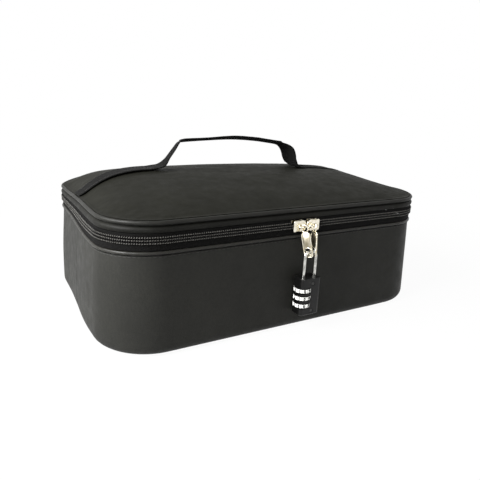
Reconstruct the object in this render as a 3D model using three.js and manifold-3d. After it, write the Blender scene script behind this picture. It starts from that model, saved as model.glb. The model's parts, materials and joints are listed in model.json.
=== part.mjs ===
// A soft zip case for the car, with a carry strap over its lid and a small dial padlock
// that holds its two zip pulls together. Sizes are in millimetres: X runs along the front,
// Y into the depth and Z up, from the floor under the middle of the case.
import * as THREE from 'three';
import { mergeVertices } from 'three/addons/utils/BufferGeometryUtils.js';
import Module from 'manifold-3d';

const wasm = await Module();
wasm.setup();

// Driving sizes of the case
const caseWidth = 300;
const caseDepth = 205;
const cornerRadius = 40;
const lowerPipingLevel = 78.8;
const zipLevel = 87.6;
const upperPipingLevel = 100.1;
const crownRise = 17.6;
const footGrowth = 3.6;
const footRadius = 8;
// Gap left between two pieces that touch
const seatGap = 0.3;
// Small step by which a cut runs past the face it opens
const cutOverrun = 1;

// Layers of the padded wall, from the outside in
const coverThickness = 1;
const foamThickness = 2.6;
const liningThickness = 0.8;
const boardThickness = 2;
const boardMargin = 4;
const foamInset = coverThickness + seatGap;
const liningInset = foamInset + foamThickness + seatGap;
const wallInset = liningInset + liningThickness;

// Piping, zip tape, coils and the band above them
const pipingRadius = 1.6;
const tapeThickness = 0.9;
const tapeOut = 0.4;
const coilGap = 1;
const coilWidth = 3;
const coilOut = 1.3;
const coilIn = 0.9;
const coilBevel = 0.6;
const hingeThickness = 1.2;
const hingeOut = 0.5;
const tapeBandHeight = 1.5;
const gussetBulge = 1.5;
const gussetIn = 1.1;
const gussetRound = 1.3;
const endPieceOut = 0.9;
const endPieceThickness = 1.8;

// The crowned lid: its height runs from the rim to the middle by these shares of the outline,
// and falls away from a soft ridge under the strap and, past its middle, to the right
const rimInset = 0.8;
const lidRimLevel = upperPipingLevel + pipingRadius + seatGap;
const crownShares = [1, 0.985, 0.965, 0.94, 0.91, 0.87, 0.81, 0.72, 0.55, 0.28];
const crownPower = 9.2;
const crownFlatness = 1.47;
const ridgeFallShare = 0.77;
const ridgePower = 1.3;
const rightFallShare = 0.24;
const rightPower = 1.2;

// The strap over the lid and the handle that rises from it
const strapWidth = 20;
const strapThickness = 1.4;
const strapCentre = 9;
const strapEndInset = 3;
const handleLeftFoot = -70;
const handleRightFoot = 72;
const handleTopLevel = 144.5;
const handleLean = 15;
const handleThickness = 1.6;
const gripThickness = 1.4;
const footRise = 0.9;

// The pair of sliders, nose to nose on the front run of the zip
const pairX = 6.2;
const sliderLength = 12.4;
const sliderWidth = 9.4;
const sliderNoseRadius = 3.2;
const sliderTailWaist = 0.7;
const plateThickness = 1.1;
const channelRoom = 0.4;
const flangeHeight = 0.9;
const dividerThickness = 0.5;
const dividerLength = 3;
const dividerSetback = 1.6;
const sliderPitch = sliderLength + seatGap;
const bailNoseRoom = 0.1;
const bailRadius = 0.75;
const bailSpan = 7.8;
const bailInset = sliderLength / 2 - bailNoseRoom - bailRadius - bailSpan / 2;
const bailRoom = 2.5;
const bailCorner = 1.5;

// The pull tabs
const tabThickness = 1.1;
const eyeRadius = 3.2;
const eyeHoleRadius = 1.9;
const tabWidth = 8;
const tabHoleRadius = 2.9;
const holeDrop = 0.4;
const tabRim = 2;
const tabCorner = 2.4;
const neckLength = 6;
const shoulderLength = 1.8;
const eyeOutShift = 0.3;
const eyeDrop = 0.5;
const leftTabTurn = 30;

// The padlock
const lockWidth = 18.6;
const lockDepth = 13;
const lockCorner = 1.8;
const lockEdge = 0.5;
const wireRadius = 1.4;
const wireClearance = 0.3;
const legSpread = 10.6;
const legEdge = 5.6;
const shackleTop = 69.3;
const shackleBend = 3.6;
const shortLegDepth = 5.5;
const shortBoreSpare = 1;
const lockStandoff = 0.4;
const crossingSpread = 5.2;
const dialRadius = 7.2;
const dialThickness = 4.2;
const dialHoleRadius = 3.6;
const dialPitch = 6.4;
const topDialLevel = 37.3;
const dialCount = 3;
const lockHeadRoom = 10;
const lockFootRoom = 8.2;
const lockTop = topDialLevel + lockHeadRoom;
const lockBottom = topDialLevel - (dialCount - 1) * dialPitch - lockFootRoom;
const dialFaces = 10;
const faceShare = 0.72;
const grooveDepth = 0.35;
const sleeveRadius = dialHoleRadius - seatGap;
const sleeveThickness = 3.4;
const finReach = 1;
const finWidth = 1.1;
const finHeight = 1.1;
const finRoom = 0.4;
const boreRadius = wireRadius + finReach + finRoom;
const legTail = 0.9;
const plugThickness = 1;
const plugRadius = 4;
const springRadius = 1.9;
const springWireRadius = 0.3;
const springTurns = 2;
const rivetRadius = 1.5;
const rivetDepth = 3;
const rivetX = 6.2;
const rivetHeadRoom = 4.3;
const rivetFootRoom = 3.5;
const rivetUpper = lockTop - rivetHeadRoom;
const rivetLower = lockBottom + rivetFootRoom;
const leafThickness = 0.4;
const leafWidth = 5;
const leafEnd = 0.8;
// Share of a bend's radius at which a round corner's handles sit
const arcShare = 0.552;

// Angles round each back corner at which the hinge and the zip end
const hingeEndAngle = 30;
const zipEndAngle = 44;

// How finely curves are drawn
const cornerSteps = 6;
const longSideSteps = 8;
const shortSideSteps = 5;
const pipingSides = 8;
const footSteps = 3;
const zipEndSteps = 4;
const wireSides = 10;
const bailSides = 8;
const boreSides = 24;
const bailSteps = 22;
const shackleSteps = 46;
const springSides = 5;

const halfWidth = caseWidth / 2;
const halfDepth = caseDepth / 2;
const radians = THREE.MathUtils.degToRad;

// Finish of a piece: its colour, roughness and metalness
const finish = (color, roughness, metalness) =>
  new THREE.MeshStandardMaterial({ color, roughness, metalness });
const leatherCloth = () => finish(0x2b2b29, 0.62, 0);
const pipingCloth = () => finish(0x232322, 0.5, 0);
const tapeCloth = () => finish(0x1c1c1b, 0.9, 0);
const webbing = () => finish(0x262625, 0.85, 0);
const foamGrey = () => finish(0x6f7073, 0.95, 0);
const liningCloth = () => finish(0x3a3b3d, 0.9, 0);
const coilNylon = () => finish(0x30302e, 0.4, 0);
const paleNickel = () => finish(0xd9d2bd, 0.28, 1);
const chrome = () => finish(0xdcdde0, 0.14, 1);
const blackEnamel = () => finish(0x1d1d1c, 0.45, 0.2);
const dialWhite = () => finish(0xe9e9e4, 0.45, 0);
const springSteel = () => finish(0x9a9ca0, 0.3, 1);

// Names a piece and gives it its finish
function piece(name, geometry, material) {
  geometry.computeVertexNormals();
  const mesh = new THREE.Mesh(geometry, material);
  mesh.name = name;
  return mesh;
}

// A surface from its points and triangles
function surface(points, triangles) {
  const geometry = new THREE.BufferGeometry();
  geometry.setAttribute('position', new THREE.Float32BufferAttribute(points.flat(), 3));
  geometry.setIndex(triangles);
  return geometry;
}

// A closed body for the cuts and joins
function body(geometry) {
  const bare = geometry.clone();
  bare.deleteAttribute('normal');
  bare.deleteAttribute('uv');
  const merged = mergeVertices(bare);
  return new wasm.Manifold(new wasm.Mesh({
    numProp: 3,
    vertProperties: new Float32Array(merged.attributes.position.array),
    triVerts: new Uint32Array(merged.index.array),
  }));
}

// The surface of a body after its cuts and joins
function skinOf(solid) {
  const mesh = solid.getMesh();
  const geometry = new THREE.BufferGeometry();
  geometry.setAttribute('position', new THREE.BufferAttribute(mesh.vertProperties, 3));
  geometry.setIndex(new THREE.BufferAttribute(mesh.triVerts, 1));
  return geometry;
}

// An arc of a corner of the case outline: points on it with the way out from each
function arcStations(signX, signY, from, to, steps) {
  return Array.from({ length: steps + 1 }, (_, step) => {
    const angle = THREE.MathUtils.lerp(from, to, step / steps);
    return {
      x: signX * (halfWidth - cornerRadius) + cornerRadius * Math.cos(angle),
      y: signY * (halfDepth - cornerRadius) + cornerRadius * Math.sin(angle),
      outX: Math.cos(angle),
      outY: Math.sin(angle),
    };
  });
}

// Points strictly between two stations of a straight side
function sideStations(from, to, steps) {
  return Array.from({ length: steps - 1 }, (_, index) => {
    const share = (index + 1) / steps;
    return { ...from, x: THREE.MathUtils.lerp(from.x, to.x, share),
      y: THREE.MathUtils.lerp(from.y, to.y, share) };
  });
}

const quarter = Math.PI / 2;
const lastOf = list => list[list.length - 1];
const backLeft = arcStations(-1, 1, quarter, 2 * quarter, cornerSteps);
const frontLeft = arcStations(-1, -1, 2 * quarter, 3 * quarter, cornerSteps);
const frontRight = arcStations(1, -1, 3 * quarter, 4 * quarter, cornerSteps);
const backRight = arcStations(1, 1, 0, quarter, cornerSteps);
const leftSide = sideStations(lastOf(backLeft), frontLeft[0], shortSideSteps);
const frontSide = sideStations(lastOf(frontLeft), frontRight[0], longSideSteps);
const rightSide = sideStations(lastOf(frontRight), backRight[0], shortSideSteps);
const backSide = sideStations(lastOf(backRight), backLeft[0], longSideSteps);

// The outline once round the case, seen from above, from the back's left end
const outline = [...backLeft, ...leftSide, ...frontLeft, ...frontSide,
  ...frontRight, ...rightSide, ...backRight, ...backSide];

// In each back corner the cloth hinge gives way to a folded end piece and then to the zip
const gapAngle = seatGap / cornerRadius;
const hingeEnd = radians(hingeEndAngle);
const zipEnd = radians(zipEndAngle);
const zipLeftHalf = [
  ...arcStations(-1, 1, quarter + zipEnd + gapAngle, 2 * quarter, zipEndSteps),
  ...leftSide, ...frontLeft];
const zipRightHalf = [...frontRight, ...rightSide,
  ...arcStations(1, 1, 0, quarter - zipEnd - gapAngle, zipEndSteps)];
const zipRun = [...zipLeftHalf, ...frontSide, ...zipRightHalf];
const hingeRun = [
  ...arcStations(1, 1, quarter - hingeEnd + gapAngle, quarter, zipEndSteps),
  ...backSide,
  ...arcStations(-1, 1, quarter, quarter + hingeEnd - gapAngle, zipEndSteps)];
const endRunLeft = arcStations(-1, 1, quarter + hingeEnd, quarter + zipEnd, zipEndSteps);
const endRunRight = arcStations(1, 1, quarter - zipEnd, quarter - hingeEnd, zipEndSteps);

// One ring round the case at a height, moved out by some distance and drawn in by a share
const ringAt = (out, level, share = 1) =>
  outline.map(s => [(s.x + s.outX * out) * share, (s.y + s.outY * out) * share, level]);

// A closed body from rings that follow one another; a ring of one point closes an end. From
// the ring numbered turnAt on, the faces split the other way, as in the layers beside them.
function lofted(rings, turnAt = rings.length) {
  const starts = [];
  let total = 0;
  rings.forEach(ring => { starts.push(total); total += ring.length; });
  const triangles = [];
  for (let i = 0; i + 1 < rings.length; i += 1) {
    const count = Math.max(rings[i].length, rings[i + 1].length);
    for (let j = 0; j < count; j += 1) {
      const next = (j + 1) % count;
      const a = starts[i] + (rings[i].length > 1 ? j : 0);
      const b = starts[i] + (rings[i].length > 1 ? next : 0);
      const c = starts[i + 1] + (rings[i + 1].length > 1 ? next : 0);
      const d = starts[i + 1] + (rings[i + 1].length > 1 ? j : 0);
      if (a === b || c === d || i < turnAt) {
        if (a !== b) triangles.push(a, b, c);
        if (c !== d) triangles.push(a, c, d);
      } else {
        triangles.push(a, b, d, b, c, d);
      }
    }
  }
  return surface(rings.flat(), triangles);
}

// A profile of out and height pairs carried along a run of the outline
function carried(profile, run, closed) {
  const points = run.flatMap(s =>
    profile.map(([out, level]) => [s.x + s.outX * out, s.y + s.outY * out, level]));
  const count = profile.length;
  const triangles = [];
  const spans = closed ? run.length : run.length - 1;
  for (let s = 0; s < spans; s += 1) {
    const here = s * count;
    const there = ((s + 1) % run.length) * count;
    for (let p = 0; p < count; p += 1) {
      const q = (p + 1) % count;
      triangles.push(here + p, there + p, there + q, here + p, there + q, here + q);
    }
  }
  if (!closed) {
    const end = (run.length - 1) * count;
    for (let p = 1; p + 1 < count; p += 1) {
      triangles.push(0, p, p + 1, end, end + p + 1, end + p);
    }
  }
  return surface(points, triangles);
}

// A round profile for the piping
const roundProfile = (radius, level, sides) => Array.from({ length: sides }, (_, i) => {
  const angle = (2 * Math.PI * i) / sides;
  return [radius * Math.cos(angle), level + radius * Math.sin(angle)];
});

// A flat profile between two distances out and two heights
const flatProfile = (inner, outer, low, high) =>
  [[inner, low], [outer, low], [outer, high], [inner, high]];

const wallTop = lowerPipingLevel - pipingRadius - seatGap;
// The wall leans out towards the floor
const wallOut = level => footGrowth * (1 - level / wallTop);

// One layer of the tray, an inset in from the outside and off the floor
function trayLayer(inset, thickness, lift) {
  const side = (depth, floor) => {
    const radius = footRadius - depth / 2;
    const arc = Array.from({ length: footSteps + 1 }, (_, step) => {
      const angle = (Math.PI / 2) * (step / footSteps);
      return [wallOut(radius + floor) - depth - radius * (1 - Math.sin(angle)),
        floor + radius * (1 - Math.cos(angle))];
    });
    return [...arc, [wallOut(wallTop / 2) - depth, wallTop / 2], [-depth, wallTop]];
  };
  const outer = side(inset, lift).map(([out, level]) => ringAt(out, level));
  const inner = side(inset + thickness, lift + thickness).map(([out, level]) => ringAt(out, level));
  return lofted([[[0, 0, lift]], ...outer, ...inner.reverse(), [[0, 0, lift + thickness]]]);
}

const boardLift = coverThickness + seatGap;
const foamLift = boardLift + boardThickness + seatGap;
const liningLift = foamLift + foamThickness + seatGap;

const baseCover = () => piece('base_cover', trayLayer(0, coverThickness, 0), leatherCloth());
const baseFoam = () => piece('base_foam', trayLayer(foamInset, foamThickness, foamLift), foamGrey());
const baseLining = () =>
  piece('base_lining', trayLayer(liningInset, liningThickness, liningLift), liningCloth());

// The stiff board under the foam of the floor
function bottomBoard() {
  const out = footGrowth - footRadius - boardMargin;
  const rings = [[[0, 0, boardLift]], ringAt(out, boardLift),
    ringAt(out, boardLift + boardThickness), [[0, 0, boardLift + boardThickness]]];
  return piece('bottom_board', lofted(rings), finish(0x8d7f68, 0.9, 0));
}

const basePiping = () => piece('base_piping',
  carried(roundProfile(pipingRadius, lowerPipingLevel, pipingSides), outline, true), pipingCloth());

const lowerTapeBottom = lowerPipingLevel + pipingRadius + seatGap;
const lowerCoilTop = zipLevel - coilGap / 2;
const lowerCoilBottom = lowerCoilTop - coilWidth;
const upperCoilBottom = zipLevel + coilGap / 2;
const upperCoilTop = upperCoilBottom + coilWidth;
const upperTapeBottom = upperCoilTop + seatGap;
const gussetBottom = upperTapeBottom + tapeBandHeight + seatGap;
const gussetTop = upperPipingLevel - pipingRadius - seatGap;

const tapeProfile = (low, high) => flatProfile(tapeOut - tapeThickness, tapeOut, low, high);
const tapeLower = () => piece('zip_tape_lower',
  carried(tapeProfile(lowerTapeBottom, lowerCoilBottom - seatGap), zipRun, false), tapeCloth());

// One row of the coil, with its outer edges bevelled
const coilProfile = (low, high) => [
  [-coilIn, low], [coilOut - coilBevel, low], [coilOut, low + coilBevel],
  [coilOut, high - coilBevel], [coilOut - coilBevel, high], [-coilIn, high],
];
const coilLower = () => piece('zip_coil_lower',
  carried(coilProfile(lowerCoilBottom, lowerCoilTop), zipRun, false), coilNylon());

// The part of the upper row on one side of the closed sliders
const windowHalf = sliderPitch + seatGap + wireClearance;
const windowEnd = side =>
  ({ x: pairX + side * windowHalf, y: -halfDepth, outX: 0, outY: -1 });
const betweenOnFront = (low, high) => frontSide.filter(s => s.x > low && s.x < high);
const leftOfSliders = [...zipLeftHalf,
  ...betweenOnFront(-halfWidth, pairX - windowHalf), windowEnd(-1)];
const rightOfSliders = [windowEnd(1),
  ...betweenOnFront(pairX + windowHalf, halfWidth), ...zipRightHalf];
const coilUpper = (name, run) =>
  piece(name, carried(coilProfile(upperCoilBottom, upperCoilTop), run, false), coilNylon());

// The upper tape, let in above the sliders so that the lid lifts off them
function tapeUpper() {
  const tape = body(carried(
    tapeProfile(upperTapeBottom, gussetBottom - seatGap), zipRun, false));
  const notchTop = zipLevel + sliderWidth / 2 + seatGap;
  const notchHeight = notchTop - zipLevel;
  const box = new THREE.BoxGeometry(2 * windowHalf, cornerRadius, notchHeight);
  box.translate(pairX, -halfDepth, zipLevel + notchHeight / 2);
  return piece('zip_tape_upper', skinOf(tape.subtract(body(box))), tapeCloth());
}

// The cloth hinge at the back, one leaf on the base and one on the lid
const hingeProfile = (low, high) =>
  flatProfile(hingeOut - hingeThickness, hingeOut, low, high);
const hingeLower = () => piece('hinge_strip_base', carried(
  hingeProfile(lowerTapeBottom, zipLevel - seatGap), hingeRun, false), leatherCloth());
const hingeUpper = () => piece('hinge_strip_lid', carried(
  hingeProfile(zipLevel + seatGap, gussetBottom - seatGap), hingeRun, false), leatherCloth());

// A folded piece of cloth that closes an end of the zip
const endProfile = (low, high) =>
  flatProfile(endPieceOut - endPieceThickness, endPieceOut, low, high);
const endLower = (name, run) => piece(name, carried(
  endProfile(lowerTapeBottom, zipLevel - seatGap), run, false), tapeCloth());
const endUpper = (name, run) => piece(name, carried(
  endProfile(zipLevel + seatGap, gussetBottom - seatGap), run, false), tapeCloth());

// The padded band between the zip and the upper piping
function gusset() {
  const profile = [
    [-gussetIn, gussetBottom], [tapeOut, gussetBottom], [gussetBulge, gussetBottom + gussetRound],
    [gussetBulge, gussetTop - gussetRound], [tapeOut, gussetTop], [-gussetIn, gussetTop],
  ];
  return piece('lid_band', carried(profile, outline, true), leatherCloth());
}

const lidPiping = () => piece('lid_piping',
  carried(roundProfile(pipingRadius, upperPipingLevel, pipingSides), outline, true), pipingCloth());

// Height of the crown over the rim at a place, with the share of the way out that it lies at
function crownAt(x, y, share) {
  const shoulder = (1 - share ** crownPower) ** crownFlatness;
  const ridge = 1 - ridgeFallShare * (Math.abs(y - strapCentre) / halfDepth) ** ridgePower;
  const right = 1 - rightFallShare * (Math.max(0, x) / halfWidth) ** rightPower;
  return crownRise * shoulder * ridge * right;
}

// One layer of the crowned lid, an inset under the outside
function lidLayer(inset, thickness) {
  const skin = depth => crownShares.map(share =>
    ringAt(-rimInset - depth, lidRimLevel - depth, share)
      .map(([x, y, level]) => [x, y, level + crownAt(x, y, share)]));
  const peak = depth => [[0, 0, lidRimLevel - depth + crownAt(0, 0, 0)]];
  const under = skin(inset + thickness).reverse();
  return lofted([peak(inset + thickness), ...under, ...skin(inset), peak(inset)],
    crownShares.length + 1);
}

const lidCover = () => piece('lid_cover', lidLayer(0, coverThickness), leatherCloth());
const lidFoam = () => piece('lid_foam', lidLayer(foamInset, foamThickness), foamGrey());
const lidLining = () => piece('lid_lining', lidLayer(liningInset, liningThickness), liningCloth());

// Height of the lid's outside along the ridge under the strap
const lidHeight = x => lidRimLevel
  + crownAt(x, strapCentre, Math.min(1, Math.abs(x) / (halfWidth - rimInset)));

const strapSteps = 12;

// One sewn run of the strap, from the side piping up to a foot of the handle
function strapRun(name, side, foot) {
  const start = side * (halfWidth - strapEndInset);
  const places = Array.from({ length: strapSteps + 1 }, (_, i) =>
    THREE.MathUtils.lerp(start, foot, (i / strapSteps) ** 2));
  const line = (x, rise) => new THREE.Vector2(x, lidHeight(x) + rise);
  const profile = new THREE.Shape([
    ...places.map(x => line(x, seatGap)),
    ...places.reverse().map(x => line(x, seatGap + strapThickness)),
  ]);
  const geometry = new THREE.ExtrudeGeometry(profile,
    { depth: strapWidth, bevelEnabled: false, steps: 1 });
  const mesh = piece(name, geometry, webbing());
  mesh.rotation.x = Math.PI / 2;
  mesh.position.y = strapCentre + strapWidth / 2;
  return mesh;
}

// Places along the handle's bent webbing, as shares of its span, its rise and the strap's width.
// Its right foot drops with the lid, which is lower there.
const handlePlaces = [
  { spanShare: 0, riseShare: 0, widthShare: 0.12 },
  { spanShare: 0.012, riseShare: 0.1, widthShare: 0.42 },
  { spanShare: 0.035, riseShare: 0.28, widthShare: 0.9 },
  { spanShare: 0.065, riseShare: 0.58, widthShare: 0.8 },
  { spanShare: 0.092, riseShare: 0.84, widthShare: 0.62 },
  { spanShare: 0.125, riseShare: 0.905, widthShare: 0.55 },
  { spanShare: 0.3, riseShare: 0.965, widthShare: 0.55 },
  { spanShare: 0.5, riseShare: 1, widthShare: 0.55 },
  { spanShare: 0.7, riseShare: 0.93, widthShare: 0.55 },
  { spanShare: 0.885, riseShare: 0.8, widthShare: 0.55 },
  { spanShare: 0.925, riseShare: 0.68, widthShare: 0.66 },
  { spanShare: 0.955, riseShare: 0.46, widthShare: 0.85 },
  { spanShare: 0.982, riseShare: 0.24, widthShare: 0.8, dropShare: 0.2 },
  { spanShare: 0.994, riseShare: 0.09, widthShare: 0.38, dropShare: 0.7 },
  { spanShare: 1, riseShare: 0, widthShare: 0.12, dropShare: 1 },
];
const gripFirst = 5;
const gripLast = 9;
const handleSpan = handleRightFoot - handleLeftFoot;
const footLevel = lidHeight(handleLeftFoot) + seatGap + strapThickness + footRise;
const handleRise = (handleTopLevel - footLevel) / Math.cos(radians(handleLean));
const footDrop = lidHeight(handleLeftFoot) - lidHeight(handleRightFoot);

// The middle line of the webbing, with the way up from its flat side at each place
function handleLine() {
  const line = handlePlaces.map(place => ({
    x: handleLeftFoot + place.spanShare * handleSpan,
    z: place.riseShare * handleRise - (place.dropShare ?? 0) * footDrop,
    width: place.widthShare * strapWidth,
  }));
  return line.map((place, i) => {
    const before = line[Math.max(0, i - 1)];
    const after = line[Math.min(line.length - 1, i + 1)];
    const along = new THREE.Vector2(after.x - before.x, after.z - before.z).normalize();
    return { ...place, upX: -along.y, upZ: along.x };
  });
}

// A strip with square edges through places of a line, from one height over it to another
function strip(line, low, high) {
  const rings = line.map(({ x, z, upX, upZ, width }) =>
    [[-1, low], [1, low], [1, high], [-1, high]].map(([side, rise]) =>
      [x + upX * rise, side * width / 2, z + upZ * rise]));
  const count = rings[0].length;
  const triangles = [];
  for (let s = 0; s + 1 < rings.length; s += 1) {
    const here = s * count;
    for (let p = 0; p < count; p += 1) {
      const q = (p + 1) % count;
      triangles.push(here + p, here + q, here + count + q,
        here + p, here + count + q, here + count + p);
    }
  }
  const end = (rings.length - 1) * count;
  for (let p = 1; p + 1 < count; p += 1) {
    triangles.push(0, p + 1, p, end, end + p, end + p + 1);
  }
  return surface(rings.flat(), triangles);
}

// The handle leans back from its feet as it stands at rest
function standHandle(mesh) {
  mesh.position.set(0, strapCentre, footLevel);
  mesh.rotation.x = -radians(handleLean);
  return mesh;
}
const handleWeb = () => standHandle(piece('handle_web',
  strip(handleLine(), -handleThickness / 2, handleThickness / 2), webbing()));

// The folded layer sewn onto the middle of the webbing, where the hand holds it
function handleGrip() {
  const line = handleLine().slice(gripFirst, gripLast + 1);
  const low = handleThickness / 2 + seatGap;
  return standHandle(piece('handle_grip', strip(line, low, low + gripThickness), webbing()));
}

// A round wire along a path in the X and Z plane, through corners of one radius
function wireSolid(corners, bend, radius, steps, sides) {
  const path = new THREE.CurvePath();
  const at = ([x, z]) => new THREE.Vector3(x, 0, z);
  let from = at(corners[0]);
  for (let i = 1; i + 1 < corners.length; i += 1) {
    const corner = at(corners[i]);
    const into = corner.clone().sub(at(corners[i - 1])).setLength(bend);
    const away = at(corners[i + 1]).sub(corner).setLength(bend);
    const start = corner.clone().sub(into);
    const finish = corner.clone().add(away);
    path.add(new THREE.LineCurve3(from, start));
    path.add(new THREE.CubicBezierCurve3(start, start.clone().addScaledVector(into, arcShare),
      finish.clone().addScaledVector(away, -arcShare), finish));
    from = finish;
  }
  path.add(new THREE.LineCurve3(from, at(lastOf(corners))));
  const round = new THREE.Shape(roundProfile(radius, 0, sides)
    .map(([x, y]) => new THREE.Vector2(x, y)));
  return new THREE.ExtrudeGeometry(round, { steps, bevelEnabled: false, extrudePath: path });
}

// A box from its middle and sizes, as a body for cuts and joins
function boxBody(x, y, z, width, depth, height) {
  const box = new THREE.BoxGeometry(width, depth, height);
  box.translate(x, y, z);
  return body(box);
}

// A solid with a flat outline, from one height to another
const raised = (outlineShape, low, high) => new THREE.ExtrudeGeometry(outlineShape,
  { depth: high - low, bevelEnabled: false, curveSegments: cornerSteps }).translate(0, 0, low);

// The zip slider, drawn along X with its nose at +X, its height along Y and outwards along Z
const channelLow = -(coilIn + channelRoom);
const channelHigh = coilOut + channelRoom;
const plateLow = channelLow - plateThickness;
const plateHigh = channelHigh + plateThickness;
const bailOut = plateHigh + bailRoom + bailRadius;
function sliderOutline() {
  const nose = sliderLength / 2;
  const side = sliderWidth / 2;
  const shape = new THREE.Shape();
  shape.moveTo(-nose, -side + sliderTailWaist);
  shape.lineTo(-nose + sliderTailWaist, -side);
  shape.absarc(nose - sliderNoseRadius, -side + sliderNoseRadius, sliderNoseRadius,
    -quarter, 0, false);
  shape.absarc(nose - sliderNoseRadius, side - sliderNoseRadius, sliderNoseRadius,
    0, quarter, false);
  shape.lineTo(-nose + sliderTailWaist, side);
  shape.lineTo(-nose, side - sliderTailWaist);
  shape.closePath();
  return shape;
}

// The loop of wire on the slider that the pull's eye runs on
function bailWire() {
  const half = bailSpan / 2;
  const foot = plateHigh - plateThickness / 2;
  return body(wireSolid(
    [[bailInset - half, foot], [bailInset - half, bailOut],
      [bailInset + half, bailOut], [bailInset + half, foot]],
    bailCorner, bailRadius, bailSteps, bailSides));
}

function sliderSolid() {
  const long = sliderLength + 2 * cutOverrun;
  const middle = (channelLow + channelHigh) / 2;
  const channel = boxBody(0, 0, middle, long, sliderWidth - 2 * flangeHeight,
    channelHigh - channelLow);
  const slot = boxBody(0, 0, tapeOut - tapeThickness / 2, long, sliderWidth + 2 * cutOverrun,
    tapeThickness + 2 * seatGap);
  const divider = boxBody(sliderLength / 2 - dividerSetback - dividerLength / 2, 0, middle,
    dividerLength, dividerThickness, channelHigh - channelLow + plateThickness);
  return body(raised(sliderOutline(), plateLow, plateHigh))
    .subtract(channel).subtract(slot).add(divider).add(bailWire());
}

// A slider on the front run of the zip; the right one is turned half round, nose to nose
function slider(name, side) {
  const mesh = piece(name, skinOf(sliderSolid()), paleNickel());
  const holder = new THREE.Group();
  holder.add(mesh);
  holder.position.set(pairX + side * sliderPitch / 2, -halfDepth, zipLevel);
  holder.rotation.x = quarter;
  mesh.rotation.z = side > 0 ? 2 * quarter : 0;
  return holder;
}

// Where the padlock hangs: its plane in front of the wall and its two legs
const lockY = -(halfDepth + wallOut(lockBottom) + lockStandoff + Math.max(lockDepth / 2, dialRadius));
const longLegX = pairX - legSpread / 2;
const shortLegX = pairX + legSpread / 2;
const crownLevel = shackleTop - wireRadius;
const bendDrop = shackleBend
  - Math.sqrt(shackleBend ** 2 - ((crossingSpread - legSpread) / 2 + shackleBend) ** 2);

// The ends of a pull tab: the middle of its eye on the bail and of its hole on the shackle
const eyePlace = side => new THREE.Vector3(
  pairX + side * (sliderPitch / 2 - bailInset),
  -(halfDepth + bailOut + eyeOutShift),
  zipLevel - eyeDrop);
const holePlace = side => new THREE.Vector3(
  pairX + side * crossingSpread / 2,
  lockY,
  crownLevel - bendDrop + holeDrop);
const tabReach = eyePlace(1).distanceTo(holePlace(1));

// Outline of a pull tab, hanging down from its eye
function tabOutline() {
  const half = tabWidth / 2;
  const foot = -(tabReach + tabHoleRadius + tabRim);
  const shape = new THREE.Shape();
  shape.absarc(0, 0, eyeRadius, 0, 2 * quarter, false);
  shape.lineTo(-eyeRadius, -neckLength);
  shape.lineTo(-half, -neckLength - shoulderLength);
  shape.absarc(-half + tabCorner, foot + tabCorner, tabCorner, 2 * quarter, 3 * quarter, false);
  shape.absarc(half - tabCorner, foot + tabCorner, tabCorner, 3 * quarter, 4 * quarter, false);
  shape.lineTo(half, -neckLength - shoulderLength);
  shape.lineTo(eyeRadius, -neckLength);
  shape.closePath();
  const eye = new THREE.Path().absarc(0, 0, eyeHoleRadius, 0, 4 * quarter, true);
  const hole = new THREE.Path().absarc(0, -tabReach, tabHoleRadius, 0, 4 * quarter, true);
  shape.holes.push(eye, hole);
  return shape;
}

// A pull tab between its slider and the shackle, its flat side turned by some degrees to the front
function pullTab(name, side, turn) {
  const mesh = piece(name, raised(tabOutline(), -tabThickness / 2, tabThickness / 2), paleNickel());
  const eye = eyePlace(side);
  const upwards = eye.clone().sub(holePlace(side)).normalize();
  const across = new THREE.Vector3(Math.sin(radians(turn)), -Math.cos(radians(turn)), 0);
  across.addScaledVector(upwards, -across.dot(upwards)).normalize();
  const flat = across.clone().cross(upwards);
  mesh.setRotationFromMatrix(new THREE.Matrix4().makeBasis(across, upwards, flat));
  mesh.position.copy(eye);
  return mesh;
}

// Levels of the dials and of the fins under them, from the top down
const dialLevels = Array.from({ length: dialCount }, (_, i) => topDialLevel - i * dialPitch);
const finLevel = level => level - dialPitch / 2;
const longLegBottom = finLevel(lastOf(dialLevels)) - finHeight / 2 - legTail;

// The shackle, with the fins of its long leg that the dials let through
function shackle() {
  const wire = wireSolid(
    [[longLegX, longLegBottom], [longLegX, crownLevel],
      [shortLegX, crownLevel], [shortLegX, lockTop - shortLegDepth]],
    shackleBend, wireRadius, shackleSteps, wireSides);
  let solid = body(wire);
  dialLevels.forEach(level => {
    solid = solid.add(boxBody(longLegX - (wireRadius + finReach) / 2, 0, finLevel(level),
      wireRadius + finReach, finWidth, finHeight));
  });
  const mesh = piece('shackle', skinOf(solid), chrome());
  mesh.position.y = lockY;
  return mesh;
}

// A round bar standing on Z, as a body for cuts and joins
function barBody(x, radius, low, high) {
  const bar = new THREE.CylinderGeometry(radius, radius, high - low, boreSides);
  bar.rotateX(quarter);
  bar.translate(x, 0, (low + high) / 2);
  return body(bar);
}

// A round pin that stands in the front face of the padlock
function pinGeometry(radius, depth, level) {
  const pin = new THREE.CylinderGeometry(radius, radius, depth, boreSides);
  pin.translate(rivetX, -lockDepth / 2 + depth / 2, level);
  return pin;
}

// Outline of the padlock's body seen from above
function lockOutline(inset) {
  const left = longLegX - legEdge + inset;
  const right = longLegX - legEdge + lockWidth - inset;
  const back = lockDepth / 2 - inset;
  const radius = lockCorner;
  const shape = new THREE.Shape();
  shape.absarc(left + radius, -back + radius, radius, 2 * quarter, 3 * quarter, false);
  shape.absarc(right - radius, -back + radius, radius, 3 * quarter, 4 * quarter, false);
  shape.absarc(right - radius, back - radius, radius, 0, quarter, false);
  shape.absarc(left + radius, back - radius, radius, quarter, 2 * quarter, false);
  shape.closePath();
  return shape;
}

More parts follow.
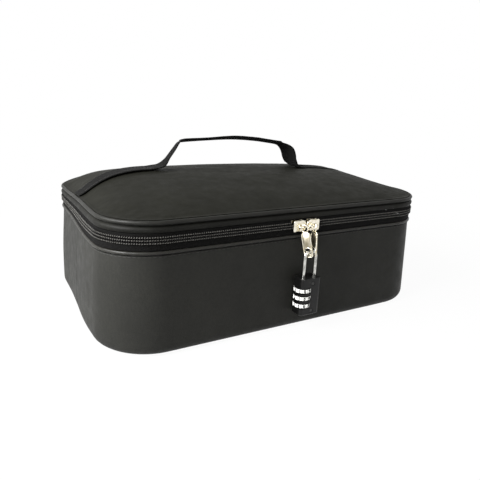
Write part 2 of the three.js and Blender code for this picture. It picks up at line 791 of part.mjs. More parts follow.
const slotHalf = dialThickness / 2 + seatGap;
const boreTop = dialLevels[0] + dialPitch / 2 + finHeight;
const leafX = longLegX + dialRadius + seatGap + leafThickness / 2;
const leafLow = lastOf(dialLevels) - dialThickness / 2 - leafEnd;
const leafHigh = dialLevels[0] + dialThickness / 2 + leafEnd;
const plugLow = lockBottom + seatGap;
const plugHigh = plugLow + plugThickness;

// The padlock's body: slots for the dials, bores for the legs, and seats for its small pieces
function lockHousing() {
  const block = new THREE.ExtrudeGeometry(lockOutline(lockEdge), {
    depth: lockTop - lockBottom - 2 * lockEdge, bevelEnabled: true, bevelThickness: lockEdge,
    bevelSize: lockEdge, bevelSegments: 1, curveSegments: cornerSteps });
  block.translate(0, 0, lockBottom + lockEdge);
  let solid = body(block);
  const cut = tool => { solid = solid.subtract(tool); };
  dialLevels.forEach(level => {
    cut(barBody(longLegX, dialRadius + seatGap, level - slotHalf, level + slotHalf));
    cut(boxBody(longLegX - legEdge / 2 - cutOverrun / 2, 0, level, legEdge + cutOverrun,
      lockDepth + 2 * cutOverrun, 2 * slotHalf));
  });
  cut(barBody(longLegX, wireRadius + wireClearance, lockBottom, lockTop + cutOverrun));
  cut(barBody(longLegX, boreRadius, lockBottom, boreTop));
  cut(barBody(longLegX, plugRadius + seatGap, lockBottom - cutOverrun, plugHigh + seatGap));
  cut(barBody(shortLegX, wireRadius + wireClearance,
    lockTop - shortLegDepth - shortBoreSpare, lockTop + cutOverrun));
  cut(boxBody(leafX, 0, (leafLow + leafHigh) / 2, leafThickness + 2 * seatGap,
    leafWidth + 2 * seatGap, leafHigh - leafLow + 2 * seatGap));
  [rivetUpper, rivetLower].forEach(level => {
    const seat = pinGeometry(rivetRadius + seatGap, rivetDepth + seatGap + cutOverrun, level);
    cut(body(seat.translate(0, -cutOverrun, 0)));
  });
  const mesh = piece('lock_body', skinOf(solid), blackEnamel());
  mesh.position.y = lockY;
  return mesh;
}

// A dial: ten flat faces with grooves between them, round a hole for its sleeve
function dial(name, level) {
  const step = (2 * Math.PI) / dialFaces;
  const at = (radius, angle) =>
    new THREE.Vector2(radius * Math.cos(angle), radius * Math.sin(angle));
  const points = Array.from({ length: dialFaces }, (_, face) => face * step).flatMap(angle => [
    at(dialRadius, angle - faceShare * step / 2), at(dialRadius, angle + faceShare * step / 2),
    at(dialRadius - grooveDepth, angle + step / 2)]);
  const shape = new THREE.Shape(points);
  shape.holes.push(new THREE.Path().absarc(0, 0, dialHoleRadius, 0, 4 * quarter, true));
  const mesh = piece(name, raised(shape, -dialThickness / 2, dialThickness / 2), dialWhite());
  mesh.position.set(longLegX, lockY, level);
  return mesh;
}

// The sleeve inside a dial, with the notch that lets a fin of the shackle pass
function sleeve(name, level) {
  const inner = wireRadius + wireClearance;
  const notchHalf = finWidth / 2 + seatGap;
  const open = Math.asin(notchHalf / inner);
  const shape = new THREE.Shape();
  shape.absarc(0, 0, sleeveRadius, 0, 4 * quarter, false);
  const hole = new THREE.Path();
  hole.absarc(0, 0, inner, 2 * quarter - open, -2 * quarter + open, true);
  hole.lineTo(-boreRadius, -notchHalf);
  hole.lineTo(-boreRadius, notchHalf);
  hole.closePath();
  shape.holes.push(hole);
  const mesh = piece(name, raised(shape, -sleeveThickness / 2, sleeveThickness / 2), springSteel());
  mesh.position.set(longLegX, lockY, level);
  return mesh;
}

// The spring under the long leg that lifts the shackle when the dials are set
function shackleSpring() {
  const low = plugHigh + seatGap + springWireRadius;
  const high = longLegBottom - seatGap - springWireRadius;
  const turnSteps = 10;
  const points = Array.from({ length: springTurns * turnSteps + 1 }, (_, i) => {
    const angle = (2 * Math.PI * i) / turnSteps;
    return new THREE.Vector3(springRadius * Math.cos(angle), springRadius * Math.sin(angle),
      THREE.MathUtils.lerp(low, high, i / (springTurns * turnSteps)));
  });
  const path = new THREE.CatmullRomCurve3(points);
  const round = new THREE.Shape(roundProfile(springWireRadius, 0, springSides)
    .map(([x, y]) => new THREE.Vector2(x, y)));
  const coil = new THREE.ExtrudeGeometry(round,
    { steps: springTurns * turnSteps, bevelEnabled: false, extrudePath: path });
  const mesh = piece('shackle_spring', coil, springSteel());
  mesh.position.set(longLegX, lockY, 0);
  return mesh;
}

// The plug that closes the bore under the spring
function bottomPlug() {
  const plug = new THREE.CylinderGeometry(plugRadius, plugRadius, plugThickness, boreSides);
  const mesh = piece('bottom_plug', plug.rotateX(quarter), blackEnamel());
  mesh.position.set(longLegX, lockY, (plugLow + plugHigh) / 2);
  return mesh;
}

// The leaf spring that the dials click against
function detentSpring() {
  const leaf = new THREE.BoxGeometry(leafThickness, leafWidth, leafHigh - leafLow);
  const mesh = piece('detent_spring', leaf, springSteel());
  mesh.position.set(leafX, lockY, (leafLow + leafHigh) / 2);
  return mesh;
}

// A rivet in the front of the padlock
function rivet(name, level) {
  const mesh = piece(name, pinGeometry(rivetRadius, rivetDepth, level), blackEnamel());
  mesh.position.y = lockY;
  return mesh;
}

// The case without its lid
function caseBase() {
  const group = new THREE.Group();
  group.add(baseCover(), bottomBoard(), baseFoam(), baseLining(), basePiping(), tapeLower(),
    coilLower(), hingeLower(), endLower('zip_end_base_left', endRunLeft),
    endLower('zip_end_base_right', endRunRight));
  return group;
}

// The lid with all that is sewn to it
function lid() {
  const group = new THREE.Group();
  group.add(lidCover(), lidFoam(), lidLining(), lidPiping(), gusset(), tapeUpper(),
    coilUpper('zip_coil_upper_left', leftOfSliders),
    coilUpper('zip_coil_upper_right', rightOfSliders),
    hingeUpper(), endUpper('zip_end_lid_left', endRunLeft),
    endUpper('zip_end_lid_right', endRunRight),
    strapRun('strap_left', -1, handleLeftFoot), strapRun('strap_right', 1, handleRightFoot));
  return group;
}

function handle() {
  const group = new THREE.Group();
  group.add(handleWeb(), handleGrip());
  return group;
}

function zipPulls() {
  const group = new THREE.Group();
  group.add(slider('slider_left', -1), slider('slider_right', 1),
    pullTab('pull_left', -1, leftTabTurn), pullTab('pull_right', 1, 0));
  return group;
}

function padlock() {
  const group = new THREE.Group();
  group.add(shackle(), lockHousing(), shackleSpring(), bottomPlug(), detentSpring(),
    rivet('rivet_upper', rivetUpper), rivet('rivet_lower', rivetLower));
  dialLevels.forEach((level, i) => {
    group.add(dial(`dial_${i + 1}`, level), sleeve(`sleeve_${i + 1}`, level));
  });
  return group;
}

const safe = new THREE.Group();
safe.add(caseBase(), lid(), handle(), zipPulls(), padlock());
export default safe;
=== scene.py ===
"""Dresses a soft zip case for the car: padded walls and lid, zip, strap handle and dial padlock."""
import json
import logging
import math
from collections.abc import Sequence
from dataclasses import dataclass, field
from enum import Enum

import bmesh
import bpy
import numpy as np
from mathutils import Matrix, Vector

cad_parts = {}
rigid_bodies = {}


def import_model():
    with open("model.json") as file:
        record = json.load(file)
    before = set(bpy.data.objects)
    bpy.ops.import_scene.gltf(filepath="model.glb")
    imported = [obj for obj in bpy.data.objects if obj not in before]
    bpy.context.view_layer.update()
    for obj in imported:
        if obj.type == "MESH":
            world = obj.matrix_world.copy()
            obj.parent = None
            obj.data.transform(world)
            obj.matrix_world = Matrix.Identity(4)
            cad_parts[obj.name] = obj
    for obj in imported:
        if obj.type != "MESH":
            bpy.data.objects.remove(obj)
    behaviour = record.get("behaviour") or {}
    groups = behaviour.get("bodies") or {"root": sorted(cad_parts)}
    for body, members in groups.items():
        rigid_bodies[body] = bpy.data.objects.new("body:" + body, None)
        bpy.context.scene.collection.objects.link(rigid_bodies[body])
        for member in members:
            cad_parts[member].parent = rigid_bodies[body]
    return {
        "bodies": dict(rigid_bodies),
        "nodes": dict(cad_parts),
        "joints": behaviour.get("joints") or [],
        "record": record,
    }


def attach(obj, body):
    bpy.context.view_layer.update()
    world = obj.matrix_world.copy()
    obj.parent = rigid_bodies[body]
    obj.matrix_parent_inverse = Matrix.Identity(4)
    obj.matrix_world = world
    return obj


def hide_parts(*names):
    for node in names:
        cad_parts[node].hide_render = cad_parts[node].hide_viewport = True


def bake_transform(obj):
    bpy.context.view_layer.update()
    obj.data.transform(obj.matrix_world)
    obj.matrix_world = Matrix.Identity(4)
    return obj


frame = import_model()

log = logging.getLogger("case")

METRES = 0.001
Array = np.ndarray
Socket = bpy.types.NodeSocket
Piece = bpy.types.Object
Colour = tuple[int, int, int]
Pair = tuple[float, float]


class Side(Enum):
    """The two ends of the front, seen by someone who opens the case."""

    LEFT = -1
    RIGHT = 1


class Row(Enum):
    """The two halves of the zip: the one on the base and the one on the lid."""

    LOWER = -1
    UPPER = 1


class Thread(Enum):
    """How long the stitches of a seam are, in millimetres, with the gap after each."""

    SEAM = (2.6, 0.9)
    FINE = (1.9, 0.7)


def paint(red: int, green: int, blue: int) -> tuple[float, float, float, float]:
    """The linear colour of a shader for a colour that looks so on screen, 0 to 255."""
    shares = (value / 255 for value in (red, green, blue))
    return (*[v / 12.92 if v <= 0.04045 else ((v + 0.055) / 1.055) ** 2.4 for v in shares], 1.0)


def unit(vectors: Array) -> Array:
    """Vectors of any array shape, each scaled to length one."""
    return vectors / np.maximum(np.linalg.norm(vectors, axis=-1, keepdims=True), 1e-12)


def circle(sides: int) -> Array:
    """Evenly spaced points of a circle of radius one."""
    angle = np.arange(sides) * 2 * np.pi / sides
    return np.stack([np.cos(angle), np.sin(angle)], 1)


def block(x: Pair, y: Pair) -> Array:
    """The four corners of a rectangle, one after another to the left."""
    return np.array([[x[0], y[0]], [x[1], y[0]], [x[1], y[1]], [x[0], y[1]]])


def bail(x: Pair, y: float, top: float, feet: Pair) -> Array:
    """The corners of an upright bail, from its first foot up, across and down."""
    return np.array([[x[0], y, feet[0]], [x[0], y, top], [x[1], y, top], [x[1], y, feet[1]]])


def eased(values: Array, low: float, high: float) -> Array:
    """A smooth step: 0 below low, 1 above high, and a cubic ease between them."""
    share = np.clip((values - low) / (high - low), 0, 1)
    return share * share * (3 - 2 * share)


def mound(values: Array, middle: float, spread: float) -> Array:
    """A bell curve of height one round a middle."""
    return np.exp(-(((values - middle) / spread) ** 2))


def run_along(points: Array) -> Array:
    """Distance run to each point of a line; the last axis holds a point's coordinates."""
    steps = np.linalg.norm(np.diff(points, axis=-2), axis=-1)
    return np.concatenate([np.zeros((*steps.shape[:-1], 1)), np.cumsum(steps, -1)], -1)


def laid_out(wide: Array, run: Array, back: float | None) -> Array:
    """Cloth coordinates of a surface made by carrying a closed profile along a line.

    Args:
        wide: Profile at each place of the line.
        run: Distance run to each place.
        back: Distance once round, or None for an open line.

    Returns:
        Distances along and round the profile, on the surface's grid.
    """
    around = run_along(np.concatenate([wide, wide[:, :1]], 1))
    if back is not None:
        run, around = np.append(run, back), np.concatenate([around, around[:1]])
    return np.stack([np.broadcast_to(run[:, None], around.shape), around], 2)


def sampled(at: Array, run: Array, line: Array) -> Array:
    """Coordinates of a line at some distances, from those at the distances run."""
    return np.stack([np.interp(at, run, coordinate) for coordinate in line.T], -1)


def shown(name: str, data: bpy.types.ID | None) -> Piece:
    """A new object of the scene, at the origin.

    Args:
        name: Its name.
        data: Its mesh, lamp or camera.

    Returns:
        The object.
    """
    made = bpy.data.objects.new(name, data)
    bpy.context.scene.collection.objects.link(made)
    return made


def corners_of(mesh: bpy.types.Mesh) -> Array:
    """The points of a mesh in metres, row by row.

    Args:
        mesh: The mesh.

    Returns:
        An array of three columns.
    """
    place = np.empty(len(mesh.vertices) * 3)
    mesh.vertices.foreach_get("co", place)
    return place.reshape(-1, 3)


@dataclass(frozen=True)
class Ripple:
    """Uneven waves in a plane: a sum of sines with seeded directions and phases."""

    seed: int
    length: float
    spread: float = 0.5
    waves: int = 14

    def at(self, across: Array, along: Array) -> Array:
        """Height of the waves, about -1 to 1.

        Args:
            across: First coordinate of the places.
            along: Second coordinate of the places.

        Returns:
            Heights.
        """
        chance = np.random.default_rng(self.seed)
        turn = chance.uniform(0, 2 * np.pi, self.waves)
        count = 2 * np.pi / (self.length * (1 + self.spread * chance.uniform(-1, 1, self.waves)))
        phase = chance.uniform(0, 2 * np.pi, self.waves)
        total = np.zeros(np.broadcast(across, along).shape)
        for angle, rate, start in zip(turn, count, phase):
            total = total + np.sin(rate * (across * np.cos(angle) + along * np.sin(angle)) + start)
        return total / math.sqrt(self.waves)


class Nodes:
    """A node tree, with short ways to add and join its nodes."""

    def __init__(self, tree: bpy.types.NodeTree) -> None:
        """Clears the tree to start anew."""
        self.tree = tree
        tree.nodes.clear()

    def add(self, kind: str, **values: object) -> bpy.types.Node:
        """Adds a node and sets its own options, then its sockets by name.

        Args:
            kind: Type of the node.
            values: Its options, or values of its sockets, with _ for a space.

        Returns:
            The new node.
        """
        node = self.tree.nodes.new(kind)
        for key, value in values.items():
            if hasattr(node, key):
                setattr(node, key, value)
            else:
                node.inputs[key.replace("_", " ")].default_value = value
        return node

    def join(self, source: Socket, target: Socket) -> None:
        """Links one socket to another."""
        self.tree.links.new(source, target)

    def wired(self, kind: str, output: int | str, sources: dict[int | str, Socket],
              **values: object) -> Socket:
        """Adds a node and joins sockets to its inputs.

        Args:
            kind: Type of the node.
            output: Its output that is wanted.
            sources: The socket joined to each of its inputs.
            values: Its options, or values of its sockets.

        Returns:
            The output socket.
        """
        node = self.add(kind, **values)
        for socket, source in sources.items():
            self.join(source, node.inputs[socket])
        return node.outputs[output]

    def mix(self, first: Socket, second: Socket, operation: str = "MULTIPLY") -> Socket:
        """Two factors put together by one arithmetic operation."""
        return self.wired("ShaderNodeMath", 0, {0: first, 1: second}, operation=operation)


class Bench(Nodes):
    """The nodes of one material, with ways to lay out its patterns."""

    def __init__(self, name: str) -> None:
        """Starts a material with a plain shader joined to its output.

        Args:
            name: Its name.
        """
        self.material = bpy.data.materials.new(name)
        self.material.use_nodes = True
        super().__init__(self.material.node_tree)
        self.shader = self.add("ShaderNodeBsdfPrincipled")
        self.output = self.add("ShaderNodeOutputMaterial")
        self.join(self.shader.outputs["BSDF"], self.output.inputs["Surface"])
        self.space = self.place("Object")

    def place(self, source: str, turn: float = 0.0, stretch: Sequence[float] = (1, 1, 1)) -> Socket:
        """Coordinates in metres, in space or on the cloth, turned by degrees and stretched."""
        start = self.add("ShaderNodeTexCoord").outputs[source]
        return self.wired("ShaderNodeMapping", "Vector", {"Vector": start},
                          Rotation=(0, 0, math.radians(turn)), Scale=stretch)

    def noise(self, pitch: float, detail: float = 3.0, roughness: float = 0.55,
              place: Socket | None = None) -> Socket:
        """Cloudy noise whose clouds are about pitch millimetres wide."""
        return self.wired("ShaderNodeTexNoise", 0, {"Vector": place or self.space},
                          Scale=1 / (pitch * METRES), Detail=detail, Roughness=roughness)

    def cells(self, pitch: float, feature: str = "SMOOTH_F1") -> Socket:
        """Pebbles or pores that lie about pitch millimetres apart."""
        return self.wired("ShaderNodeTexVoronoi", "Distance", {"Vector": self.space},
                          feature=feature, Scale=1 / (pitch * METRES))

    def ribs(self, place: Socket, pitch: float, direction: str, distortion: float) -> Socket:
        """Even ribs, pitch millimetres apart along one axis, that may waver."""
        return self.wired("ShaderNodeTexWave", "Fac", {"Vector": place}, wave_type="BANDS",
                          bands_direction=direction, Distortion=distortion,
                          Scale=2 * math.pi / 20 / (pitch * METRES))

    def colour(self, factor: Socket, *stops: tuple[float, Colour]) -> None:
        """Colours the surface along a factor.

        Args:
            factor: The factor socket.
            stops: Two places from 0 to 1, each with its colour.
        """
        node = self.add("ShaderNodeValToRGB")
        for element, (position, colour) in zip(node.color_ramp.elements, stops):
            element.position, element.color = position, paint(*colour)
        self.join(factor, node.inputs["Fac"])
        self.feed("Base Color", node.outputs["Color"])

    def gloss(self, factor: Socket, low: float, high: float) -> None:
        """Spreads the surface's roughness over a range, as a factor goes from 0.3 to 0.7."""
        self.feed("Roughness", self.wired("ShaderNodeMapRange", "Result", {"Value": factor},
                                          From_Min=0.3, From_Max=0.7, To_Min=low, To_Max=high))

    def bump(self, height: Socket, strength: float, depth: float,
             under: Socket | None = None) -> Socket:
        """Raises a surface by a factor, depth in millimetres, over another bump if there is one."""
        sources = {"Height": height} if under is None else {"Height": height, "Normal": under}
        return self.wired("ShaderNodeBump", "Normal", sources, Strength=strength,
                          Distance=depth * METRES)

    def set(self, **values: object) -> None:
        """Sets plain values on the shader's own sockets, by name with _ for a space."""
        for key, value in values.items():
            self.shader.inputs[key.replace("_", " ")].default_value = value

    def feed(self, socket: str, source: Socket) -> None:
        """Joins a pattern to one of the shader's sockets."""
        self.join(source, self.shader.inputs[socket])


class Finish:
    """A finish that is made once and then shared by its pieces."""

    name: str

    def lay(self, bench: Bench) -> None:
        """Lays the finish's patterns on a bench."""
        raise NotImplementedError

    def material(self) -> bpy.types.Material:
        """The finish's material, made the first time that it is asked for."""
        if self.name not in bpy.data.materials:
            self.lay(Bench(self.name))
        return bpy.data.materials[self.name]


@dataclass(frozen=True)
class SoftLeather(Finish):
    """Coated leather cloth: fine pebbled grain, faint mottling and a soft sheen."""

    name: str
    dark: Colour = (31, 31, 29)
    pale: Colour = (41, 41, 38)
    roughness: Pair = (0.46, 0.6)
    specular: float = 0.32
    grain: float = 0.95
    grain_depth: float = 0.12
    crease: float = 14.0
    crease_depth: float = 0.25

    def lay(self, bench: Bench) -> None:
        """Pebbles of the grain over shallow creases; clouds vary the colour and the gloss.

        Args:
            bench: Nodes of the material.
        """
        clouds = bench.mix(bench.noise(34, 4), bench.noise(2.2, 3, 0.65))
        bench.colour(clouds, (0.1, self.dark), (0.4, self.pale))
        bench.gloss(bench.noise(9), *self.roughness)
        creases = bench.bump(bench.noise(self.crease, 2, 0.4), 0.5, self.crease_depth)
        grain = bench.mix(bench.cells(self.grain), bench.noise(self.grain * 0.6, 2), "ADD")
        bench.feed("Normal", bench.bump(grain, 0.45, self.grain_depth, creases))
        bench.set(Specular_IOR_Level=self.specular)


@dataclass(frozen=True)
class WovenTape(Finish):
    """Plain woven tape: ribs of warp and weft that follow the cloth."""

    name: str
    dark: Colour = (20, 20, 19)
    pale: Colour = (38, 38, 36)
    rib: float = 0.9
    weft: float = 0.7
    depth: float = 0.22
    roughness: float = 0.78
    sheen: float = 0.12
    specular: float = 0.25

    def lay(self, bench: Bench) -> None:
        """Ribs along the tape times ribs across it, with fluff from fine noise.

        Args:
            bench: Nodes of the material.
        """
        place = bench.place("UV")
        warp, weft = bench.ribs(place, self.rib, "Y", 0), bench.ribs(place, self.weft, "X", 0.6)
        weave = bench.mix(warp, weft)
        fluff = bench.noise(0.8, 3, 0.7)
        bench.colour(bench.mix(weave, fluff), (0.02, self.dark), (0.45, self.pale))
        bench.feed("Normal", bench.bump(weave, 0.7, self.depth, bench.bump(fluff, 0.3, 0.1)))
        bench.set(Roughness=self.roughness, Specular_IOR_Level=self.specular,
                  Sheen_Weight=self.sheen, Sheen_Roughness=0.5)


@dataclass(frozen=True)
class Nylon(Finish):
    """Smooth nylon wire or thread, with faint uneven gloss."""

    name: str
    dark: Colour = (24, 24, 23)
    pale: Colour = (44, 43, 40)
    roughness: Pair = (0.3, 0.48)
    twist: float = 0.5
    specular: float = 0.5

    def lay(self, bench: Bench) -> None:
        """Fine noise for colour and gloss, and a low bump as of drawn fibre.

        Args:
            bench: Nodes of the material.
        """
        fine = bench.noise(self.twist, 2)
        bench.colour(fine, (0.35, self.dark), (0.65, self.pale))
        bench.gloss(fine, *self.roughness)
        bench.feed("Normal", bench.bump(fine, 0.3, 0.04))
        bench.set(Specular_IOR_Level=self.specular)


@dataclass(frozen=True)
class Metal(Finish):
    """Plated metal: its colour, a cast or polished surface and hairline wear."""

    name: str
    colour: Colour
    tarnish: Colour
    roughness: Pair = (0.16, 0.34)
    waver: float = 2.6
    waver_depth: float = 0.05
    scratch_depth: float = 0.008

    def lay(self, bench: Bench) -> None:
        """Slow noise tarnishes the colour; stretched noise draws hairlines in the gloss.

        Args:
            bench: Nodes of the material.
        """
        bench.colour(bench.noise(3.4, 4), (0.32, self.tarnish), (0.56, self.colour))
        hairs = bench.noise(1.6, 4, 0.7, bench.place("Object", 20, (1, 1, 14)))
        bench.gloss(hairs, *self.roughness)
        cast = bench.bump(bench.noise(self.waver, 2), 0.5, self.waver_depth)
        bench.feed("Normal", bench.bump(hairs, 0.3, self.scratch_depth, cast))
        bench.set(Metallic=1.0)


@dataclass(frozen=True)
class Enamel(Finish):
    """Sprayed paint or moulded plastic: low orange peel and a little dust."""

    name: str
    dark: Colour
    pale: Colour
    roughness: Pair = (0.3, 0.44)
    peel: float = 0.9
    peel_depth: float = 0.02
    cloud: float = 5.0
    specular: float = 0.5

    def lay(self, bench: Bench) -> None:
        """Clouds between two near colours, gloss that varies and a fine peel.

        Args:
            bench: Nodes of the material.
        """
        bench.colour(bench.noise(self.cloud, 5, 0.6), (0.35, self.dark), (0.68, self.pale))
        bench.gloss(bench.noise(1.7), *self.roughness)
        bench.feed("Normal", bench.bump(bench.noise(self.peel, 2), 0.5, self.peel_depth))
        bench.set(Specular_IOR_Level=self.specular)


@dataclass(frozen=True)
class Foam(Finish):
    """Open foam: small round pores of two sizes."""

    name: str = "foam_grey"

    def lay(self, bench: Bench) -> None:
        """Cells darken and dent the grey; a larger cloud varies it.

        Args:
            bench: Nodes of the material.
        """
        pores = bench.mix(bench.cells(0.8, "F1"), bench.cells(0.45, "F1"))
        bench.colour(pores, (0.02, (62, 63, 66)), (0.3, (118, 119, 122)))
        lumps = bench.bump(bench.noise(12), 0.4, 0.4)
        bench.feed("Normal", bench.bump(pores, 0.8, 0.3, lumps))
        bench.set(Roughness=0.95, Specular_IOR_Level=0.2)


@dataclass(frozen=True)
class NapLining(Finish):
    """Brushed lining cloth with a short nap."""

    name: str = "lining_nap"

    def lay(self, bench: Bench) -> None:
        """Fine noise for the nap, slow noise for the marks that hands leave in it.

        Args:
            bench: Nodes of the material.
        """
        nap, marks = bench.noise(0.7, 4, 0.7), bench.noise(22)
        bench.colour(bench.mix(nap, marks), (0.12, (38, 39, 42)), (0.42, (66, 68, 72)))
        bench.feed("Normal", bench.bump(nap, 0.6, 0.25, bench.bump(marks, 0.4, 0.5)))
        bench.set(Roughness=0.92, Specular_IOR_Level=0.15, Sheen_Weight=0.3, Sheen_Roughness=0.4)


@dataclass(frozen=True)
class PressedBoard(Finish):
    """Pressed fibre board: flecks and long fibres."""

    name: str = "pressed_board"

    def lay(self, bench: Bench) -> None:
        """Stretched noise draws the fibres and plain noise the flecks.

        Args:
            bench: Nodes of the material.
        """
        fibres = bench.noise(3, 5, 0.7, bench.place("Object", 35, (1, 9, 1)))
        flecks = bench.mix(fibres, bench.noise(1.4))
        bench.colour(flecks, (0.15, (112, 92, 68)), (0.4, (164, 144, 114)))
        bench.feed("Normal", bench.bump(fibres, 0.5, 0.15))
        bench.set(Roughness=0.88)


LEATHER = SoftLeather("leather_cloth", dark=(31, 31, 29), pale=(37, 37, 34), specular=0.12,
                      crease_depth=0.04)
# Lid leather: a darker copy of the case leather; its darker tone is painted shade on the lid top.
SHADED_LID_LEATHER = SoftLeather("leather_cloth_lid", dark=(20, 20, 16), pale=(25, 25, 20),
                          roughness=(0.6, 0.74), specular=0.08, crease_depth=0.03)
# Band and hinge leather: a darker copy of the case leather; its darker tone is painted shade under
# the lid's piping.
SHADED_TRIM_LEATHER = SoftLeather("leather_cloth_trim", dark=(13, 13, 11), pale=(21, 21, 17),
                           roughness=(0.5, 0.64), grain=0.8, grain_depth=0.08, specular=0.14)
EDGE_LEATHER = SoftLeather("leather_cloth_edge", dark=(18, 18, 15), pale=(26, 26, 22),
                           roughness=(0.42, 0.56), grain=0.8, grain_depth=0.06, specular=0.24)
PIPING_LEATHER = SoftLeather("leather_cloth_piping", dark=(24, 24, 21), pale=(38, 37, 33),
                             roughness=(0.34, 0.48), grain=0.7, grain_depth=0.05, specular=0.26)
TAPE = WovenTape("zip_tape_cloth", dark=(6, 6, 6), pale=(20, 19, 17), sheen=0.0, specular=0.08)
# Dark webbing whose colour is made darker still as painted shade on the strap and handle.
SHADED_WEBBING = WovenTape("strap_webbing", dark=(4, 4, 4), pale=(19, 19, 17), rib=1.5, weft=1.1,
                    depth=0.4, roughness=0.9, sheen=0.02, specular=0.08)
COIL = Nylon("coil_nylon", dark=(4, 4, 4), pale=(14, 14, 13), roughness=(0.4, 0.56), specular=0.12)
SEAM_THREAD = Nylon("seam_thread", dark=(22, 22, 21), pale=(46, 45, 42), roughness=(0.5, 0.7))
# Pale beads over the coil: zip stitching whose pale colour is a painted highlight of the coil
# loops.
ZIP_THREAD_AND_HIGHLIGHT = Nylon("zip_thread", dark=(44, 43, 40), pale=(84, 82, 76), roughness=(0.5, 0.7))
NICKEL = Metal("pale_nickel", colour=(244, 239, 224), tarnish=(214, 203, 174),
               roughness=(0.1, 0.26), waver=1.7, waver_depth=0.09)
# Pull plate nickel: a darker, rougher copy of the pale nickel; its darker colour is painted shade
# on the tab faces beside the bright rim.
SHADED_NICKEL = Metal("satin_nickel", colour=(190, 182, 162), tarnish=(158, 148, 122),
                     roughness=(0.3, 0.5), waver=2.2, waver_depth=0.04)
CHROME = Metal("bright_chrome", colour=(214, 213, 208), tarnish=(160, 160, 156),
               roughness=(0.08, 0.2), waver_depth=0.02)
STEEL = Metal("spring_steel", colour=(170, 172, 176), tarnish=(120, 120, 124),
              roughness=(0.25, 0.42))
BLACK_ENAMEL = Enamel("black_enamel", dark=(6, 6, 6), pale=(12, 12, 11), specular=0.28)
PIN_ENAMEL = Enamel("black_pin", dark=(20, 20, 19), pale=(34, 34, 32), specular=0.5)
DIAL_WHITE = Enamel("dial_white", dark=(222, 221, 214), pale=(240, 239, 234),
                    roughness=(0.35, 0.5))
DIAL_INK = Enamel("dial_ink", dark=(14, 14, 15), pale=(26, 26, 27), roughness=(0.5, 0.6))
FOAM = Foam()
LINING = NapLining()
BOARD = PressedBoard()


